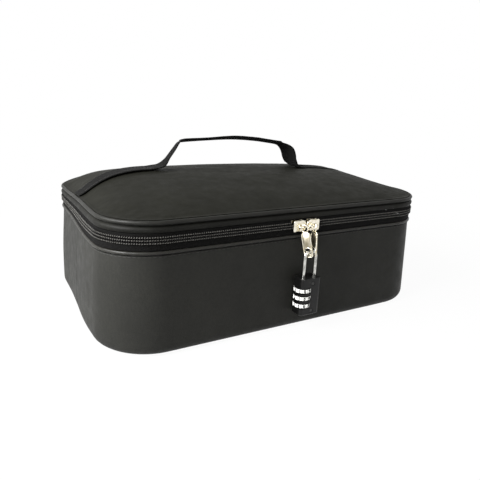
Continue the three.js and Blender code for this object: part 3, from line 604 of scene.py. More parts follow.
@dataclass
class Shape:
    """Points, faces and cloth coordinates of one piece, gathered part by part."""

    points: list[Array] = field(default_factory=list)
    faces: list[list[int]] = field(default_factory=list)
    cloth: list[Array] = field(default_factory=list)
    count: int = 0

    def add(self, points: Array, faces: Array, cloth: Array | None = None) -> int:
        """Adds points with faces between them.

        Args:
            points: Points in millimetres, one row each.
            faces: Numbers of the points of each face.
            cloth: Cloth coordinates of each face's corners.

        Returns:
            Number of the first point.
        """
        start = self.count
        self.points.append(points.reshape(-1, 3))
        self.faces.extend((faces + start).tolist())
        if cloth is None:
            cloth = np.zeros((*faces.shape, 2))
        self.cloth.append(cloth.reshape(-1, 2))
        self.count += len(self.points[-1])
        return start

    def lid_face(self, ring: Array) -> None:
        """Closes a ring of points by one flat face."""
        self.faces.append([int(number) for number in ring])
        self.cloth.append(np.zeros((len(ring), 2)))

    def grid(self, points: Array, closed: bool = False, ends: bool = True,
             cloth: Array | None = None) -> int:
        """Adds a tube whose points lie on a grid, its last column joined to the first.

        Args:
            points: Points of rows and columns.
            closed: True if the last row joins the first too.
            ends: True if open ends are closed by a face each.
            cloth: Cloth coordinates, with one row or column more where closed.

        Returns:
            Number of the first point.
        """
        rows, columns = points.shape[:2]
        i, j = np.meshgrid(np.arange(rows if closed else rows - 1), np.arange(columns),
                           indexing="ij")
        steps = np.array([[0, 0], [0, 1], [1, 1], [1, 0]])
        corners = np.stack([i.ravel(), j.ravel()], 1)[:, None, :] + steps
        faces = corners[..., 0] % rows * columns + corners[..., 1] % columns
        laid = None if cloth is None else cloth[corners[..., 0], corners[..., 1]]
        start = self.add(points, faces, laid)
        if ends and not closed:
            self.lid_face(start + np.arange(columns))
            self.lid_face(start + (rows - 1) * columns + np.arange(columns)[::-1])
        return start

    def dome(self, rings: Array, first: Array, last: Array) -> None:
        """Adds rings that follow one another from one middle point to another.

        Args:
            rings: Points, ring by ring.
            first: The point that closes the first ring.
            last: The point that closes the last ring.
        """
        start = self.grid(rings, ends=False)
        rows, columns = rings.shape[:2]
        here = np.arange(columns)
        after = (here + 1) % columns
        poles = self.add(np.stack([first, last]), np.zeros((0, 3), int))
        top = np.stack([np.full(columns, poles), start + after, start + here], 1)
        low = start + (rows - 1) * columns
        bottom = np.stack([np.full(columns, poles + 1), low + here, low + after], 1)
        for fan in (top, bottom):
            self.faces.extend(fan.tolist())
            self.cloth.append(np.zeros((columns * 3, 2)))

    def swept(self, path: Array, side: Array, up: Array, profile: Array,
              closed: bool = False) -> None:
        """Carries a closed profile along a path.

        Args:
            path: Points of the path.
            side: Direction of the profile's first coordinate at each point.
            up: Direction of its second coordinate at each point.
            profile: Its points, alike all along or one set for each point.
            closed: True if the path's end joins its start.
        """
        wide = np.broadcast_to(profile, (len(path), *profile.shape[-2:]))
        points = (path[:, None] + side[:, None] * wide[..., :1] + up[:, None] * wide[..., 1:])
        run = run_along(path)
        back = run[-1] + np.linalg.norm(path[0] - path[-1]) if closed else None
        self.grid(points, closed=closed, cloth=laid_out(wide, run, back))

    def tubes(self, points: Array, rings: int, sides: int) -> None:
        """Adds many small closed tubes that are made alike.

        Args:
            points: Points, tube by tube and ring by ring.
            rings: Rings of each tube.
            sides: Points of each ring.
        """
        i, j = np.meshgrid(np.arange(rings - 1), np.arange(sides), indexing="ij")
        here, after = (i * sides + j).ravel(), (i * sides + (j + 1) % sides).ravel()
        one = np.stack([here, after, after + sides, here + sides], 1)
        size = rings * sides
        shift = (np.arange(points.size // 3 // size) * size)[:, None, None]
        start = self.add(points, (one[None] + shift).reshape(-1, 4))
        for ring in (np.arange(sides), size - 1 - np.arange(sides)):
            fans = start + shift[:, 0] + ring[None]
            self.faces.extend(fans.tolist())
            self.cloth.append(np.zeros((fans.size, 2)))

    def beads(self, places: Array, along: Array, out: Array, length: float,
              radius: float, flat: float) -> None:
        """Adds many small long beads, such as stitches, of six sides and four rings.

        Args:
            places: Middle of each bead.
            along: Direction of each bead's length.
            out: Direction out of the cloth at each bead.
            length: Length of a bead.
            radius: Half of its width.
            flat: Its height as a share of its width.
        """
        along, out = unit(along), unit(out)
        across = np.cross(out, along)
        reach = np.array([-0.5, -0.36, 0.36, 0.5]) * length
        wide = np.array([0.35, 1, 1, 0.35]) * radius
        ring = circle(6) * [1, flat]
        local = np.concatenate([np.column_stack([np.full(6, r), ring * w])
                                for r, w in zip(reach, wide)])
        points = (places[:, None] + along[:, None] * local[None, :, :1]
                  + across[:, None] * local[None, :, 1:2] + out[:, None] * local[None, :, 2:])
        self.tubes(points, len(reach), 6)

    def plate(self, outline: Array, low: float, high: float, edge: float) -> None:
        """Adds a flat plate whose edges are quarter rounds.

        Args:
            outline: Points of its outline, one after another to the left.
            low: Height of its underside.
            high: Height of its upper side.
            edge: Radius of its edges.
        """
        way = unit(np.roll(outline, -1, 0) - np.roll(outline, 1, 0))
        out = np.stack([way[:, 1], -way[:, 0]], 1)
        angle = np.linspace(0, np.pi / 2, 4)
        inset, lift = edge * (1 - np.sin(angle)), edge * (1 - np.cos(angle))
        insets = np.concatenate([inset, inset[::-1]])[:, None, None]
        levels = np.concatenate([low + lift, high - lift[::-1]])[:, None, None]
        flat = outline[None] - out[None] * insets
        rings = np.concatenate([flat, levels + 0 * flat[..., :1]], 2)
        middle = outline.mean(0)
        self.dome(rings, np.array([*middle, low]), np.array([*middle, high]))

    def wire(self, path: Array, side: Array, radius: float, sides: int) -> None:
        """Adds a round wire along a path that lies in one plane.

        Args:
            path: Points of its middle.
            side: Direction square to the plane.
            radius: Radius of the wire.
            sides: Number of points round it.
        """
        ahead = unit(np.gradient(path, axis=0))
        across = np.broadcast_to(side, path.shape)
        self.swept(path, across, np.cross(ahead, across), radius * circle(sides))

    def merge(self, other: "Shape") -> None:
        """Takes over all parts of another shape.

        Args:
            other: That shape.
        """
        self.points.extend(other.points)
        self.faces.extend([[number + self.count for number in face] for face in other.faces])
        self.cloth.extend(other.cloth)
        self.count += other.count

    def placed(self, axes: Array, origin: Sequence[float]) -> "Shape":
        """Moves all points from a frame of its own, its axes given row by row."""
        self.points = [points @ axes + np.asarray(origin) for points in self.points]
        return self

    def piece(self, name: str, finish: Finish, smooth: float = 40.0) -> Piece:
        """Makes the settled mesh object in metres, with its faces turned outwards.

        Args:
            name: Name of the piece.
            finish: Its finish.
            smooth: Angle in degrees under which neighbouring faces shade as one.

        Returns:
            The object, at the origin.
        """
        mesh = bpy.data.meshes.new(name)
        points = WORN.settled(np.concatenate(self.points)) * METRES
        mesh.from_pydata(points.tolist(), [], self.faces)
        layer = mesh.uv_layers.new(name="cloth")
        layer.data.foreach_set("uv", (np.concatenate(self.cloth) * METRES).ravel())
        turned = bmesh.new()
        turned.from_mesh(mesh)
        bmesh.ops.recalc_face_normals(turned, faces=turned.faces)
        turned.to_mesh(mesh)
        turned.free()
        mesh.shade_smooth()
        if smooth < 180:
            mesh.set_sharp_from_angle(angle=math.radians(smooth))
        mesh.materials.append(finish.material())
        return shown(name, mesh)


def threaded(knots: Array, steps: int) -> Array:
    """A smooth line through knots: a Catmull-Rom curve, with even steps between each two.

    Args:
        knots: Points, one row each.
        steps: Steps from one knot to the next.

    Returns:
        Points, with the knots among them.
    """
    full = np.concatenate([2 * knots[:1] - knots[1:2], knots, 2 * knots[-1:] - knots[-2:-1]])
    t = (np.arange(steps) / steps)[None, :, None]
    a, b, c, d = (full[shift:len(full) - 3 + shift, None] for shift in range(4))
    line = 0.5 * (2 * b + (c - a) * t + (2 * a - 5 * b + 4 * c - d) * t ** 2
                  + (3 * b - a - 3 * c + d) * t ** 3)
    return np.concatenate([line.reshape(-1, knots.shape[1]), knots[-1:]])


def rounded(corners: Array, radius: float, steps: int = 9) -> Array:
    """A line through corners, each inner corner turned into a round cubic bend.

    Args:
        corners: Points in space.
        radius: Distance from a corner at which its bend starts and ends.
        steps: Points of a bend.

    Returns:
        Points of the line.
    """
    before = unit(corners[:-2] - corners[1:-1])[:, None] * radius
    after = unit(corners[2:] - corners[1:-1])[:, None] * radius
    t = np.linspace(0, 1, steps)[None, :, None]
    pull = 0.4477
    bends = (corners[1:-1, None] + before * ((1 - t) ** 3 + 3 * pull * t * (1 - t) ** 2)
             + after * (t ** 3 + 3 * pull * (1 - t) * t ** 2))
    return np.concatenate([corners[:1], bends.reshape(-1, 3), corners[-1:]])


def settle(piece: Piece, body: str, slot: str, *nodes: str) -> Piece:
    """Lets a piece ride on a body in place of its plain nodes, and reports it.

    Args:
        piece: The finished piece.
        body: Body of the jointed frame that carries it.
        slot: Material slot of the record; not used.
        nodes: Nodes that the piece stands for.

    Returns:
        The piece.
    """
    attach(piece, body)
    if nodes:
        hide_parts(*nodes)
    log.info("%s rides on %s, %d faces", piece.name, body, len(piece.data.polygons))
    return piece


@dataclass(frozen=True)
class WornForm:
    """How the soft case has settled out of its plain form, in millimetres.

    The lid's rim hangs a little at the rear ends of both sides, the left wall swells and its
    rim sags, and the foot is drawn in at the front's right corner.
    """

    droop: float = 3.0
    swell: float = 3.3
    sag: float = 2.4
    tuck: float = 1.6

    def settled(self, points: Array) -> Array:
        """Moves points of the plain form to where they lie in the settled case.

        Args:
            points: Points, with a last axis of three.

        Returns:
            The moved points; those near the padlock and on the crown stay.
        """
        x, y, z = points[..., 0], points[..., 1], points[..., 2]
        rim = eased(z, 80, 98) * (1 - eased(z, 103, 119))
        rear = eased(y, -25, 52) * eased(np.abs(x), 112, 146)
        low = 1 - np.clip(z / 122, 0, 1) ** 1.7
        left = mound(y, -38, 46) * eased(-x, 96, 146)
        right = mound(y, -84, 34) * eased(x, 84, 142) * low
        edge = eased(z, 20, 79) * (1 - eased(z, 81, 99))
        moved = np.stack([-self.swell * left * low - 0.75 * self.tuck * right,
                          0.6 * self.tuck * right,
                          -self.droop * rim * rear - self.sag * left * edge], -1)
        return points + moved


WORN = WornForm()


@dataclass(frozen=True)
class CaseOutline:
    """The outline of the case seen from above: a rectangle with four round corners."""

    width: float = 300.0
    depth: float = 205.0
    corner: float = 40.0

    def table(self) -> tuple[Array, Array, Array, Array]:
        """Break points of the outline from the middle of the back, by the left side.

        Returns:
            Distance run, middle of the corner's circle in X and Y, and the way out in radians.
        """
        wide, deep = self.width / 2 - self.corner, self.depth / 2 - self.corner
        quarter = math.pi / 2 * self.corner
        run = np.cumsum([0, wide, quarter, 2 * deep, quarter, 2 * wide, quarter, 2 * deep,
                         quarter, wide])
        x = np.array([0, -wide, -wide, -wide, -wide, wide, wide, wide, wide, 0])
        y = np.array([deep, deep, deep, -deep, -deep, -deep, -deep, deep, deep, deep])
        turn = np.radians([90, 90, 180, 180, 270, 270, 360, 360, 450, 450])
        return run, x, y, turn

    @property
    def length(self) -> float:
        """The whole way round."""
        return float(self.table()[0][-1])

    def at(self, run: Array) -> tuple[Array, Array]:
        """Places on the outline and the way out from each.

        A place is the middle of its corner's circle plus the radius along the way out, and
        both the middle and the way out change evenly with the distance run.

        Args:
            run: Distances from the middle of the back, by the left side.

        Returns:
            Points in the plane and unit vectors out, both with a last axis of two.
        """
        known, x, y, turn = self.table()
        run = np.mod(run, known[-1])
        angle = np.interp(run, known, turn)
        out = np.stack([np.cos(angle), np.sin(angle)], -1)
        middle = np.stack([np.interp(run, known, x), np.interp(run, known, y)], -1)
        return middle + self.corner * out, out

    def run_of(self, x: float) -> float:
        """Distance run to a place on the straight front."""
        return self.length / 2 + x

    def ring(self, count: int) -> Array:
        """Distances of evenly spaced places once round."""
        return np.arange(count) * self.length / count

    def lifted(self, run: Array, out: Array, level: Array, share: Array | float = 1.0) -> Array:
        """Points in space: places of the outline moved out, drawn in by a share and lifted.

        Args:
            run: Distances round the outline.
            out: Distance moved out.
            level: Height over the floor.
            share: Share by which the place is drawn in to the middle.

        Returns:
            Points with a last axis of three.
        """
        place, way = self.at(run)
        flat = (place + way * np.asarray(out)[..., None]) * np.asarray(share)[..., None]
        height = np.broadcast_to(np.asarray(level, float), flat.shape[:-1])
        return np.concatenate([flat, height[..., None]], -1)


OUTLINE = CaseOutline()
ROUND_STEPS = 900
HINGE_ANGLE = 30.0
ZIP_ANGLE = 44.0


def carried(profile: Array, run: Array, closed: bool) -> Shape:
    """A profile of out and height carried round the outline.

    Args:
        profile: Pairs of distance out and height, one set, or one for each distance run.
        run: Distances round the outline.
        closed: True if it goes once round.

    Returns:
        The shape.
    """
    wide = np.broadcast_to(profile, (len(run), *profile.shape[-2:]))
    points = OUTLINE.lifted(run[:, None], wide[..., 0], wide[..., 1])
    back = OUTLINE.length + run[0] if closed else None
    shape = Shape()
    shape.grid(points, closed=closed, cloth=laid_out(wide, run, back))
    return shape


def piped(radius: float, out: float, level: float, waver: Ripple, depth: float) -> Shape:
    """A cord of piping once round the case, its radius a little uneven.

    Args:
        radius: Its radius.
        out: How far its middle stands out from the outline.
        level: Height of its middle.
        waver: The waves of its radius along the cord.
        depth: How high they are.

    Returns:
        The shape.
    """
    run = OUTLINE.ring(ROUND_STEPS)
    wavering = radius + depth * waver.at(run, 0 * run)
    return carried(wavering[:, None, None] * circle(16) + [out, level], run, True)


def corner_run(degrees: float) -> float:
    """Distance run from the middle of the back to an angle into its corner."""
    return OUTLINE.width / 2 - OUTLINE.corner + math.radians(degrees) * OUTLINE.corner


def zip_span() -> Pair:
    """Distances run to the two ends of the zip, in the back corners."""
    start = corner_run(ZIP_ANGLE)
    return start, OUTLINE.length - start


def stitched(places: Array, out: Array, thread: Thread, radius: float = 0.24,
             closed: bool = False) -> Shape:
    """A row of stitches along a line on the cloth.

    Args:
        places: Closely spaced points of the line.
        out: Way out of the cloth at each point.
        thread: Kind of stitch.
        radius: Half of the thread's width.
        closed: True if the line ends where it starts.

    Returns:
        A shape of beads.
    """
    length, gap = thread.value
    if closed:
        places, out = np.concatenate([places, places[:1]]), np.concatenate([out, out[:1]])
    run = run_along(places)
    count = max(1, int(run[-1] / (length + gap)))
    middle = (np.arange(count) + 0.5) * run[-1] / count
    start, end = (sampled(middle + shift, run, places) for shift in (-length / 2, length / 2))
    shape = Shape()
    shape.beads((start + end) / 2, end - start, sampled(middle, run, out), length, radius, 0.7)
    return shape


@dataclass(frozen=True)
class Stuffing:
    """How a skin swells over its filling, from a short cloth simulation.

    The simulation runs on a coarser copy of the skin that is thrown away afterwards.
    """

    pressure: float = 4.0
    frames: int = 20
    cap: float = 2.6
    around: int = 124
    rows: int = 24
    mass: float = 0.3
    stiffness: float = 12.0
    bending: float = 0.6
    plain_share: float = 0.9

    def swelling(self, rings: Array, normal: Array, held: Array) -> Array:
        """How far each point moves out when the filling presses against the skin.

        Args:
            rings: Points of the skin, ring by ring from its middle.
            normal: Ways out of the skin at its points.
            held: How firmly each is held, one where sewn down.

        Returns:
            Distances, at most the cap.
        """
        count, stations = held.shape
        row = np.unique(np.linspace(0, count - 1, self.rows).round().astype(int))
        column = np.arange(0, stations, stations // self.around)
        coarse = np.ix_(row, column)
        body = self.body(rings[coarse], held[coarse])
        scene = bpy.context.scene
        for frame in range(1, self.frames + 1):
            scene.frame_set(frame)
        swollen = body.evaluated_get(bpy.context.evaluated_depsgraph_get())
        place = corners_of(swollen.data)
        scene.frame_set(1)
        mesh = body.data
        bpy.data.objects.remove(body)
        bpy.data.meshes.remove(mesh)
        moved = place.reshape(rings[coarse].shape) / METRES - rings[coarse]
        out = np.maximum((moved * normal[coarse]).sum(-1), 0)
        out = self.cap * np.tanh(out / self.cap) * (1 - held[coarse])
        log.info("cloth simulation: %d points, swelling up to %.2f mm", out.size, out.max())
        return self.spread(out, row, column, held.shape)

    def body(self, rings: Array, held: Array) -> Piece:
        """The coarse skin with its Cloth modifier, pinned where it is held.

        Args:
            rings: Points, ring by ring.
            held: How firmly each point is held.

        Returns:
            The object.
        """
        shape = Shape()
        shape.grid(rings, ends=False)
        mesh = bpy.data.meshes.new("stuffing")
        mesh.from_pydata((rings.reshape(-1, 3) * METRES).tolist(), [], shape.faces)
        if sum(face.normal.z for face in mesh.polygons) < 0:
            mesh.flip_normals()
        body = shown("stuffing", mesh)
        pins = body.vertex_groups.new(name="held")
        for index, weight in enumerate(held.ravel()):
            pins.add([index], float(weight), "REPLACE")
        cloth = body.modifiers.new("stuffing", "CLOTH")
        cloth.point_cache.frame_start, cloth.point_cache.frame_end = 1, self.frames
        cloth.collision_settings.use_collision = False
        settings = cloth.settings
        settings.quality, settings.mass = 6, self.mass
        settings.tension_stiffness = settings.compression_stiffness = self.stiffness
        settings.shear_stiffness, settings.bending_stiffness = self.stiffness / 2, self.bending
        settings.use_pressure, settings.uniform_pressure_force = True, self.pressure
        settings.vertex_group_mass = pins.name
        settings.effector_weights.gravity = 0
        return body

    def spread(self, out: Array, row: Array, column: Array, shape: tuple[int, int]) -> Array:
        """Carries distances from the coarse skin to all points of the fine one.

        Args:
            out: Distances on the coarse skin.
            row: Its rings, as numbers of the fine skin's.
            column: Its places round, as numbers of the fine skin's.
            shape: Number of rings and of places round.

        Returns:
            Distances on the fine skin.
        """
        rings = np.stack([np.interp(np.arange(shape[0]), row, line) for line in out.T], 1)
        place = np.append(column, shape[1])
        return np.stack([np.interp(np.arange(shape[1]), place, np.append(line, line[0]))
                         for line in rings])


@dataclass
class Base:
    """The tray of the case: leather cloth, foam, stiff board and lining, with its piping.

    Along the front, where the padlock hangs and travels, the wall is nearly flat.
    """

    wall_top: float = 76.9
    foot_growth: float = 3.6
    foot_radius: float = 8.0
    cover: float = 1.0
    foam: float = 2.6
    lining: float = 0.8
    board: float = 2.0
    gap: float = 0.3
    piping_level: float = 78.9
    piping_radius: float = 1.35
    bulge: float = 0.9
    lock_middle: float = 0.0
    lock_reach: float = 150.0
    floor_shares: tuple[float, ...] = (0.2, 0.5, 0.8, 0.93)
    foot_steps: int = 9
    wall_steps: int = 26
    stations: int = 560

    def lean(self, level: Array) -> Array:
        """How far the wall stands out at a height; it leans out towards the floor."""
        return self.foot_growth * (1 - level / self.wall_top)

    def side(self, depth: float, floor: float) -> tuple[Array, Array]:
        """Profile of one face of the wall: a quarter round foot, then the leaning wall.

        Args:
            depth: How far the face lies under the outside.
            floor: Height of its floor.

        Returns:
            Distances out and heights, from the foot up.
        """
        radius = self.foot_radius - depth / 2
        angle = np.linspace(0, np.pi / 2, self.foot_steps)
        foot_out = self.lean(radius + floor) - depth - radius * (1 - np.sin(angle))
        foot = floor + radius * (1 - np.cos(angle))
        wall = np.linspace(radius + floor, self.wall_top, self.wall_steps)[1:]
        return (np.concatenate([foot_out, self.lean(wall) - depth]),
                np.concatenate([foot, wall]))

    def softened(self, run: Array, level: Array) -> Array:
        """How the stuffed wall swells between foot and piping, with slow dents and waves.

        Args:
            run: Distances round the outline.
            level: Heights over the floor.

        Returns:
            Distances moved out.
        """
        height = np.clip(level / self.wall_top, 0, 1)
        held = np.sin(np.pi * height) ** 0.8
        place, _ = OUTLINE.at(run)
        slow = Ripple(3, 90).at(place[..., 0] + place[..., 1], level * 1.5)
        fine = Ripple(5, 26).at(place[..., 0] - place[..., 1], level)
        under = np.exp(-(self.wall_top - level) / 5) * Ripple(8, 11).at(run, level * 0.2)
        behind = mound(place[..., 0], self.lock_middle, self.lock_reach) * (place[..., 1] < 0)
        free = 1 - behind * (1 - eased(level, 58, 72))
        swell = held * (self.bulge + 0.4 * slow + 0.03 * fine) + 0.06 * under * held ** 0.3
        return swell * free

    def layer(self, inset: float, thickness: float, lift: float, soft: float) -> Shape:
        """One layer of the tray as a closed body.

        Args:
            inset: How far its outside lies under the outside of the case.
            thickness: Its own thickness.
            lift: Height of its underside over the floor.
            soft: Share of the wall's swelling that it follows.

        Returns:
            The shape.
        """
        run = OUTLINE.ring(self.stations)[None]
        faces = []
        for depth, floor in ((inset, lift), (inset + thickness, lift + thickness)):
            out, level = self.side(depth, floor)
            out, level = out[:, None] + 0 * run, level[:, None] + 0 * run
            rings = OUTLINE.lifted(run, out + soft * self.softened(run, level), level)
            shares = np.array(self.floor_shares)[:, None] + 0 * run
            floor_out, floor_level = out[:1] + 0 * shares, level[:1] + 0 * shares
            flat = OUTLINE.lifted(0 * shares + run, floor_out, floor_level, shares)
            faces.append(np.concatenate([flat, rings]))
        shape = Shape()
        shape.dome(np.concatenate([faces[0], faces[1][::-1]]), np.array([0, 0, lift]),
                   np.array([0, 0, lift + thickness]))
        return shape

    def build(self) -> None:
        """Makes the layers, the piping and its row of stitches."""
        foam_inset = self.cover + self.gap
        foam_lift = foam_inset + self.board + self.gap
        lining_inset = foam_inset + self.foam + self.gap
        lining_lift = foam_lift + self.foam + self.gap
        cover = self.layer(0, self.cover, 0, 1).piece("base_leather", LEATHER)
        settle(cover, "case", "pu_leather", "base_cover")
        foam = self.layer(foam_inset, self.foam, foam_lift, 0.8).piece("base_padding", FOAM)
        settle(foam, "case", "foam", "base_foam")
        lining = self.layer(lining_inset, self.lining, lining_lift, 0.6)
        settle(lining.piece("base_lining_cloth", LINING), "case", "lining", "base_lining")
        self.pipe()

    def pipe(self) -> None:
        """The piping on the rim and the stitches under it."""
        cord = piped(self.piping_radius, 0, self.piping_level, Ripple(11, 7), 0.06)
        settle(cord.piece("base_piping_cord", PIPING_LEATHER), "case", "piping", "base_piping")
        run = OUTLINE.ring(ROUND_STEPS)
        level = self.piping_level - self.piping_radius - 1.5
        out = self.lean(np.array(level)) + self.softened(run, level + 0 * run) + 0.12
        place = OUTLINE.lifted(run, out, level + 0 * run)
        way = np.column_stack([OUTLINE.at(run)[1], 0 * run])
        row = stitched(place, way, Thread.SEAM, closed=True)
        settle(row.piece("base_seam_stitches", SEAM_THREAD), "case", "piping")


@dataclass
class Lid:
    """The crowned, padded lid with its piping and the band that carries the zip."""

    rim_level: float = 102.0
    rim_inset: float = 0.8
    rise: float = 17.6
    power: float = 9.2
    flatness: float = 1.47
    ridge_fall: float = 0.77
    ridge_power: float = 1.3
    right_fall: float = 0.24
    right_power: float = 1.2
    cover: float = 1.0
    foam: float = 2.6
    lining: float = 0.8
    gap: float = 0.3
    piping_level: float = 100.1
    piping_radius: float = 1.6
    piping_out: float = -0.5
    band_low: float = 93.2
    band_high: float = 98.4
    groove_share: float = 0.14
    strap_middle: float = 9.0
    strap_width: float = 20.0
    sewn_from: float = 66.0
    sewn_whole: float = 84.0
    stray: float = 7.5
    sink: float = 2.2
    sink_left: Pair = (61.0, 75.0)
    sink_right: Pair = (138.0, 148.0)
    fullness: float = 0.9
    stuffing: Stuffing = Stuffing()
    stations: int = 620

    def crown(self, x: Array, y: Array, share: Array) -> Array:
        """Height over the rim: rise (1 - share^power)^flatness, less two slow falls.

        It falls away from a soft ridge under the strap, by ridge_fall times the distance
        from it as a share of half the depth, and to the right by right_fall.

        Args:
            x: Places along the front.
            y: Places into the depth.
            share: How far out they are, as a share of the way to the rim.

        Returns:
            Heights.
        """
        dome = np.maximum(1 - np.clip(share, 0, 1) ** self.power, 0) ** self.flatness
        ridge = np.abs(y - self.strap_middle) / (OUTLINE.depth / 2)
        right = np.maximum(x, 0) / (OUTLINE.width / 2)
        return (self.rise * dome * (1 - self.ridge_fall * ridge ** self.ridge_power)
                * (1 - self.right_fall * right ** self.right_power))

    def strap_line(self, x: Array) -> Array:
        """Where the strap's middle lies; it strays forward towards its left end."""
        return self.strap_middle - self.stray * eased(-x, 92, 149)

    def height(self, x: Array) -> Array:
        """Height of the lid's plain outside under the strap."""
        share = np.abs(x) / (OUTLINE.width / 2 - self.rim_inset)
        return self.rim_level + self.crown(x, self.strap_line(x), share)

    def shares(self, steps: int) -> Array:
        """Shares from near the middle to the rim, closer together towards the rim."""
        return 1 - (1 - np.linspace(0.06, 1, steps)) ** 2.1

    def skin(self, depth: float, steps: int, soft: float, press: float) -> Array:
        """One face of the lid, ring by ring from the middle to the rim.

        Args:
            depth: How far it lies under the outside.
            steps: How many rings it has.
            soft: Share of the folds and puckers that it follows.
            press: Share of the strap's dent that it follows.

        Returns:
            Points of the rings.
        """
        share = self.shares(steps)[:, None] + 0 * OUTLINE.ring(self.stations)[None]
        run = OUTLINE.ring(self.stations)[None] + 0 * share
        rings = OUTLINE.lifted(run, 0 * run - self.rim_inset - depth, 0 * run, share)
        x, y = rings[..., 0], rings[..., 1]
        rings[..., 2] = (self.rim_level - depth + self.crown(x, y, share)
                         - press * self.pressed(x, y))
        if not soft:
            return rings
        along = np.roll(rings, -1, 1) - np.roll(rings, 1, 1)
        inwards = np.gradient(rings, axis=0)
        normal = unit(np.cross(inwards, along))
        normal *= np.sign(normal[..., 2:] + 1e-9)
        held = self.held(x, y, share)
        slope = eased((1 - share) * 100, 2, 36)
        lowered = self.stuffing.cap * self.fullness * (1 - held) * slope
        start = rings - normal * lowered[..., None]
        swell = self.stuffing.swelling(start, normal, held)
        level = np.median(swell[share < 0.6]) / (self.stuffing.cap * self.fullness)
        lift = swell - lowered * level + self.folds(rings, share, run)
        return rings + normal * (soft * lift)[..., None]

    def held(self, x: Array, y: Array, share: Array) -> Array:
        """How firmly the leather is held: wholly at the rim and under the sewn strap.

        Args:
            x: Places along the front.
            y: Places into the depth.
            share: Share of the way out at each place.

        Returns:
            Shares from zero to one.
        """
        rim = 1 - eased((1 - share) * 100, 0.2, 5.5)
        half = self.strap_width / 2
        strap = 1 - eased(np.abs(y - self.strap_line(x)), half - 1, half + 7)
        strap = strap * eased(np.abs(x), self.sewn_from, self.sewn_whole)
        return np.clip(np.maximum(rim, strap), 0, 1)

    def folds(self, rings: Array, share: Array, run: Array) -> Array:
        """How far the leather stands over its plain form.

        Slow waves lie all over it, a fold runs just over the piping, and short puckers
        gather at the corners, most of all at the front's left one. Under the strap the
        leather stays down.

        Args:
            rings: Points of the plain form.
            share: Share of the way out at each point.
            run: Distance round the outline at each point.

        Returns:
            Heights.
        """
        x, y = rings[..., 0], rings[..., 1]
        edge = (1 - share) * 100
        corners = sum(mound(run, middle, 34) * much for middle, much in zip(
            (141.4, 329.2, 612.0, 799.9), (0.6, 1.0, 0.6, 0.6)))
        slow = 0.13 * Ripple(21, 80).at(x, y) + 0.03 * Ripple(22, 24).at(x, y)
        fold = -0.6 * mound(edge, 3.2, 2.6) * (0.25 + 0.75 * mound(run, 225, 70) + 0.2 * corners)
        roll = 0.3 * mound(edge, 0.9, 0.9)
        pucker = corners * eased(edge, 0.4, 3) * (1 - eased(edge, 6, 17))
        gathers = 0.14 * pucker * Ripple(25, 8, 0.35).at(run, edge * 0.8)
        fine = 0.1 * pucker * Ripple(26, 3.6, 0.35).at(x * 1.1, y)
        beside = mound(y - self.strap_line(x), 0, 0.62 * self.strap_width)
        held = 1 - beside * ((x < 0) | (x > 60))
        return (slow * (share < 0.995) + fold + roll + gathers + fine) * np.clip(held, 0.05, 1)

    def pressed(self, x: Array, y: Array) -> Array:
        """How deep the strap's right run sinks into the padding.

        Full depth under the strap, eased to nothing just beside it and at both of its ends.

        Args:
            x: Places along the front.
            y: Places into the depth.

        Returns:
            Depths.
        """
        half = self.strap_width / 2
        beside = eased(np.abs(y - self.strap_middle), half + 0.6, half + 3.4)
        ends = eased(x, *self.sink_left) * (1 - eased(x, *self.sink_right))
        return self.sink * (1 - beside) * ends

    def layer(self, inset: float, thickness: float, soft: float, steps: int,
              press: Pair = (0.0, 0.0)) -> Shape:
        """One layer of the lid as a closed body.

        Args:
            inset: How far its outside lies under the outside of the lid.
            thickness: Its own thickness.
            soft: Share of the folds that its outside follows.
            steps: How many rings its outside has.
            press: Shares of the strap's dent that its outside and its inside follow.

        Returns:
            The shape.
        """
        outside = self.skin(inset, steps, soft, press[0])
        inside = self.skin(inset + thickness, max(22, steps // 3), 0, press[1])
        middle = np.array([0, 0, 1.0])
        shape = Shape()
        shape.dome(np.concatenate([outside, inside[::-1]]), outside[0].mean(0) * middle,
                   inside[0].mean(0) * middle)
        return shape

    def build(self) -> None:
        """Makes the three layers, the piping and the soft band."""
        # The lid cover takes the darker leather copy, which paints shade on the lid top.
        cover = self.layer(0, self.cover, 1, 60, (1, 1)).piece("lid_leather", SHADED_LID_LEATHER)
        settle(cover, "lid", "pu_leather", "lid_cover")
        inset = self.cover + self.gap
        foam = self.layer(inset, self.foam, 0, 22, (1, 0)).piece("lid_padding", FOAM)
        settle(foam, "lid", "foam", "lid_foam")
        lining = self.layer(inset + self.foam + self.gap, self.lining, 0, 22)
        settle(lining.piece("lid_lining_cloth", LINING), "lid", "lining", "lid_lining")
        self.trim()

    def trim(self) -> None:
        """The piping round the lid and the soft band under it."""
        cord = piped(self.piping_radius, self.piping_out, self.piping_level, Ripple(31, 8), 0.05)
        settle(cord.piece("lid_piping_cord", EDGE_LEATHER), "lid", "piping", "lid_piping")
        run = OUTLINE.ring(ROUND_STEPS)
        rise = (1 - np.cos(np.pi * np.linspace(0, 1, 15))) / 2
        turn = np.pi * np.minimum(rise / (1 - self.groove_share), 1)
        swell = np.where(turn > np.pi / 2, -1.0 + 2.3 * np.sin(turn).clip(0, 1) ** 0.55,
                         0.4 + 0.9 * np.sin(turn) ** 0.9)
        level = self.band_low + (self.band_high - self.band_low) * rise
        outer = np.stack([swell[None] + 0.07 * Ripple(33, 13).at(run[:, None], level[None]),
                          level[None] + 0 * run[:, None]], 2)
        inner = np.array([[-1.6, self.band_high], [-1.6, self.band_low]])
        profile = np.concatenate([outer, np.broadcast_to(inner, (len(run), 2, 2))], 1)
        # The band takes the darker leather copy, which paints shade under the piping.
        band = carried(profile, run, True).piece("lid_band_leather", SHADED_TRIM_LEATHER)
        settle(band, "lid", "pu_leather", "lid_band")


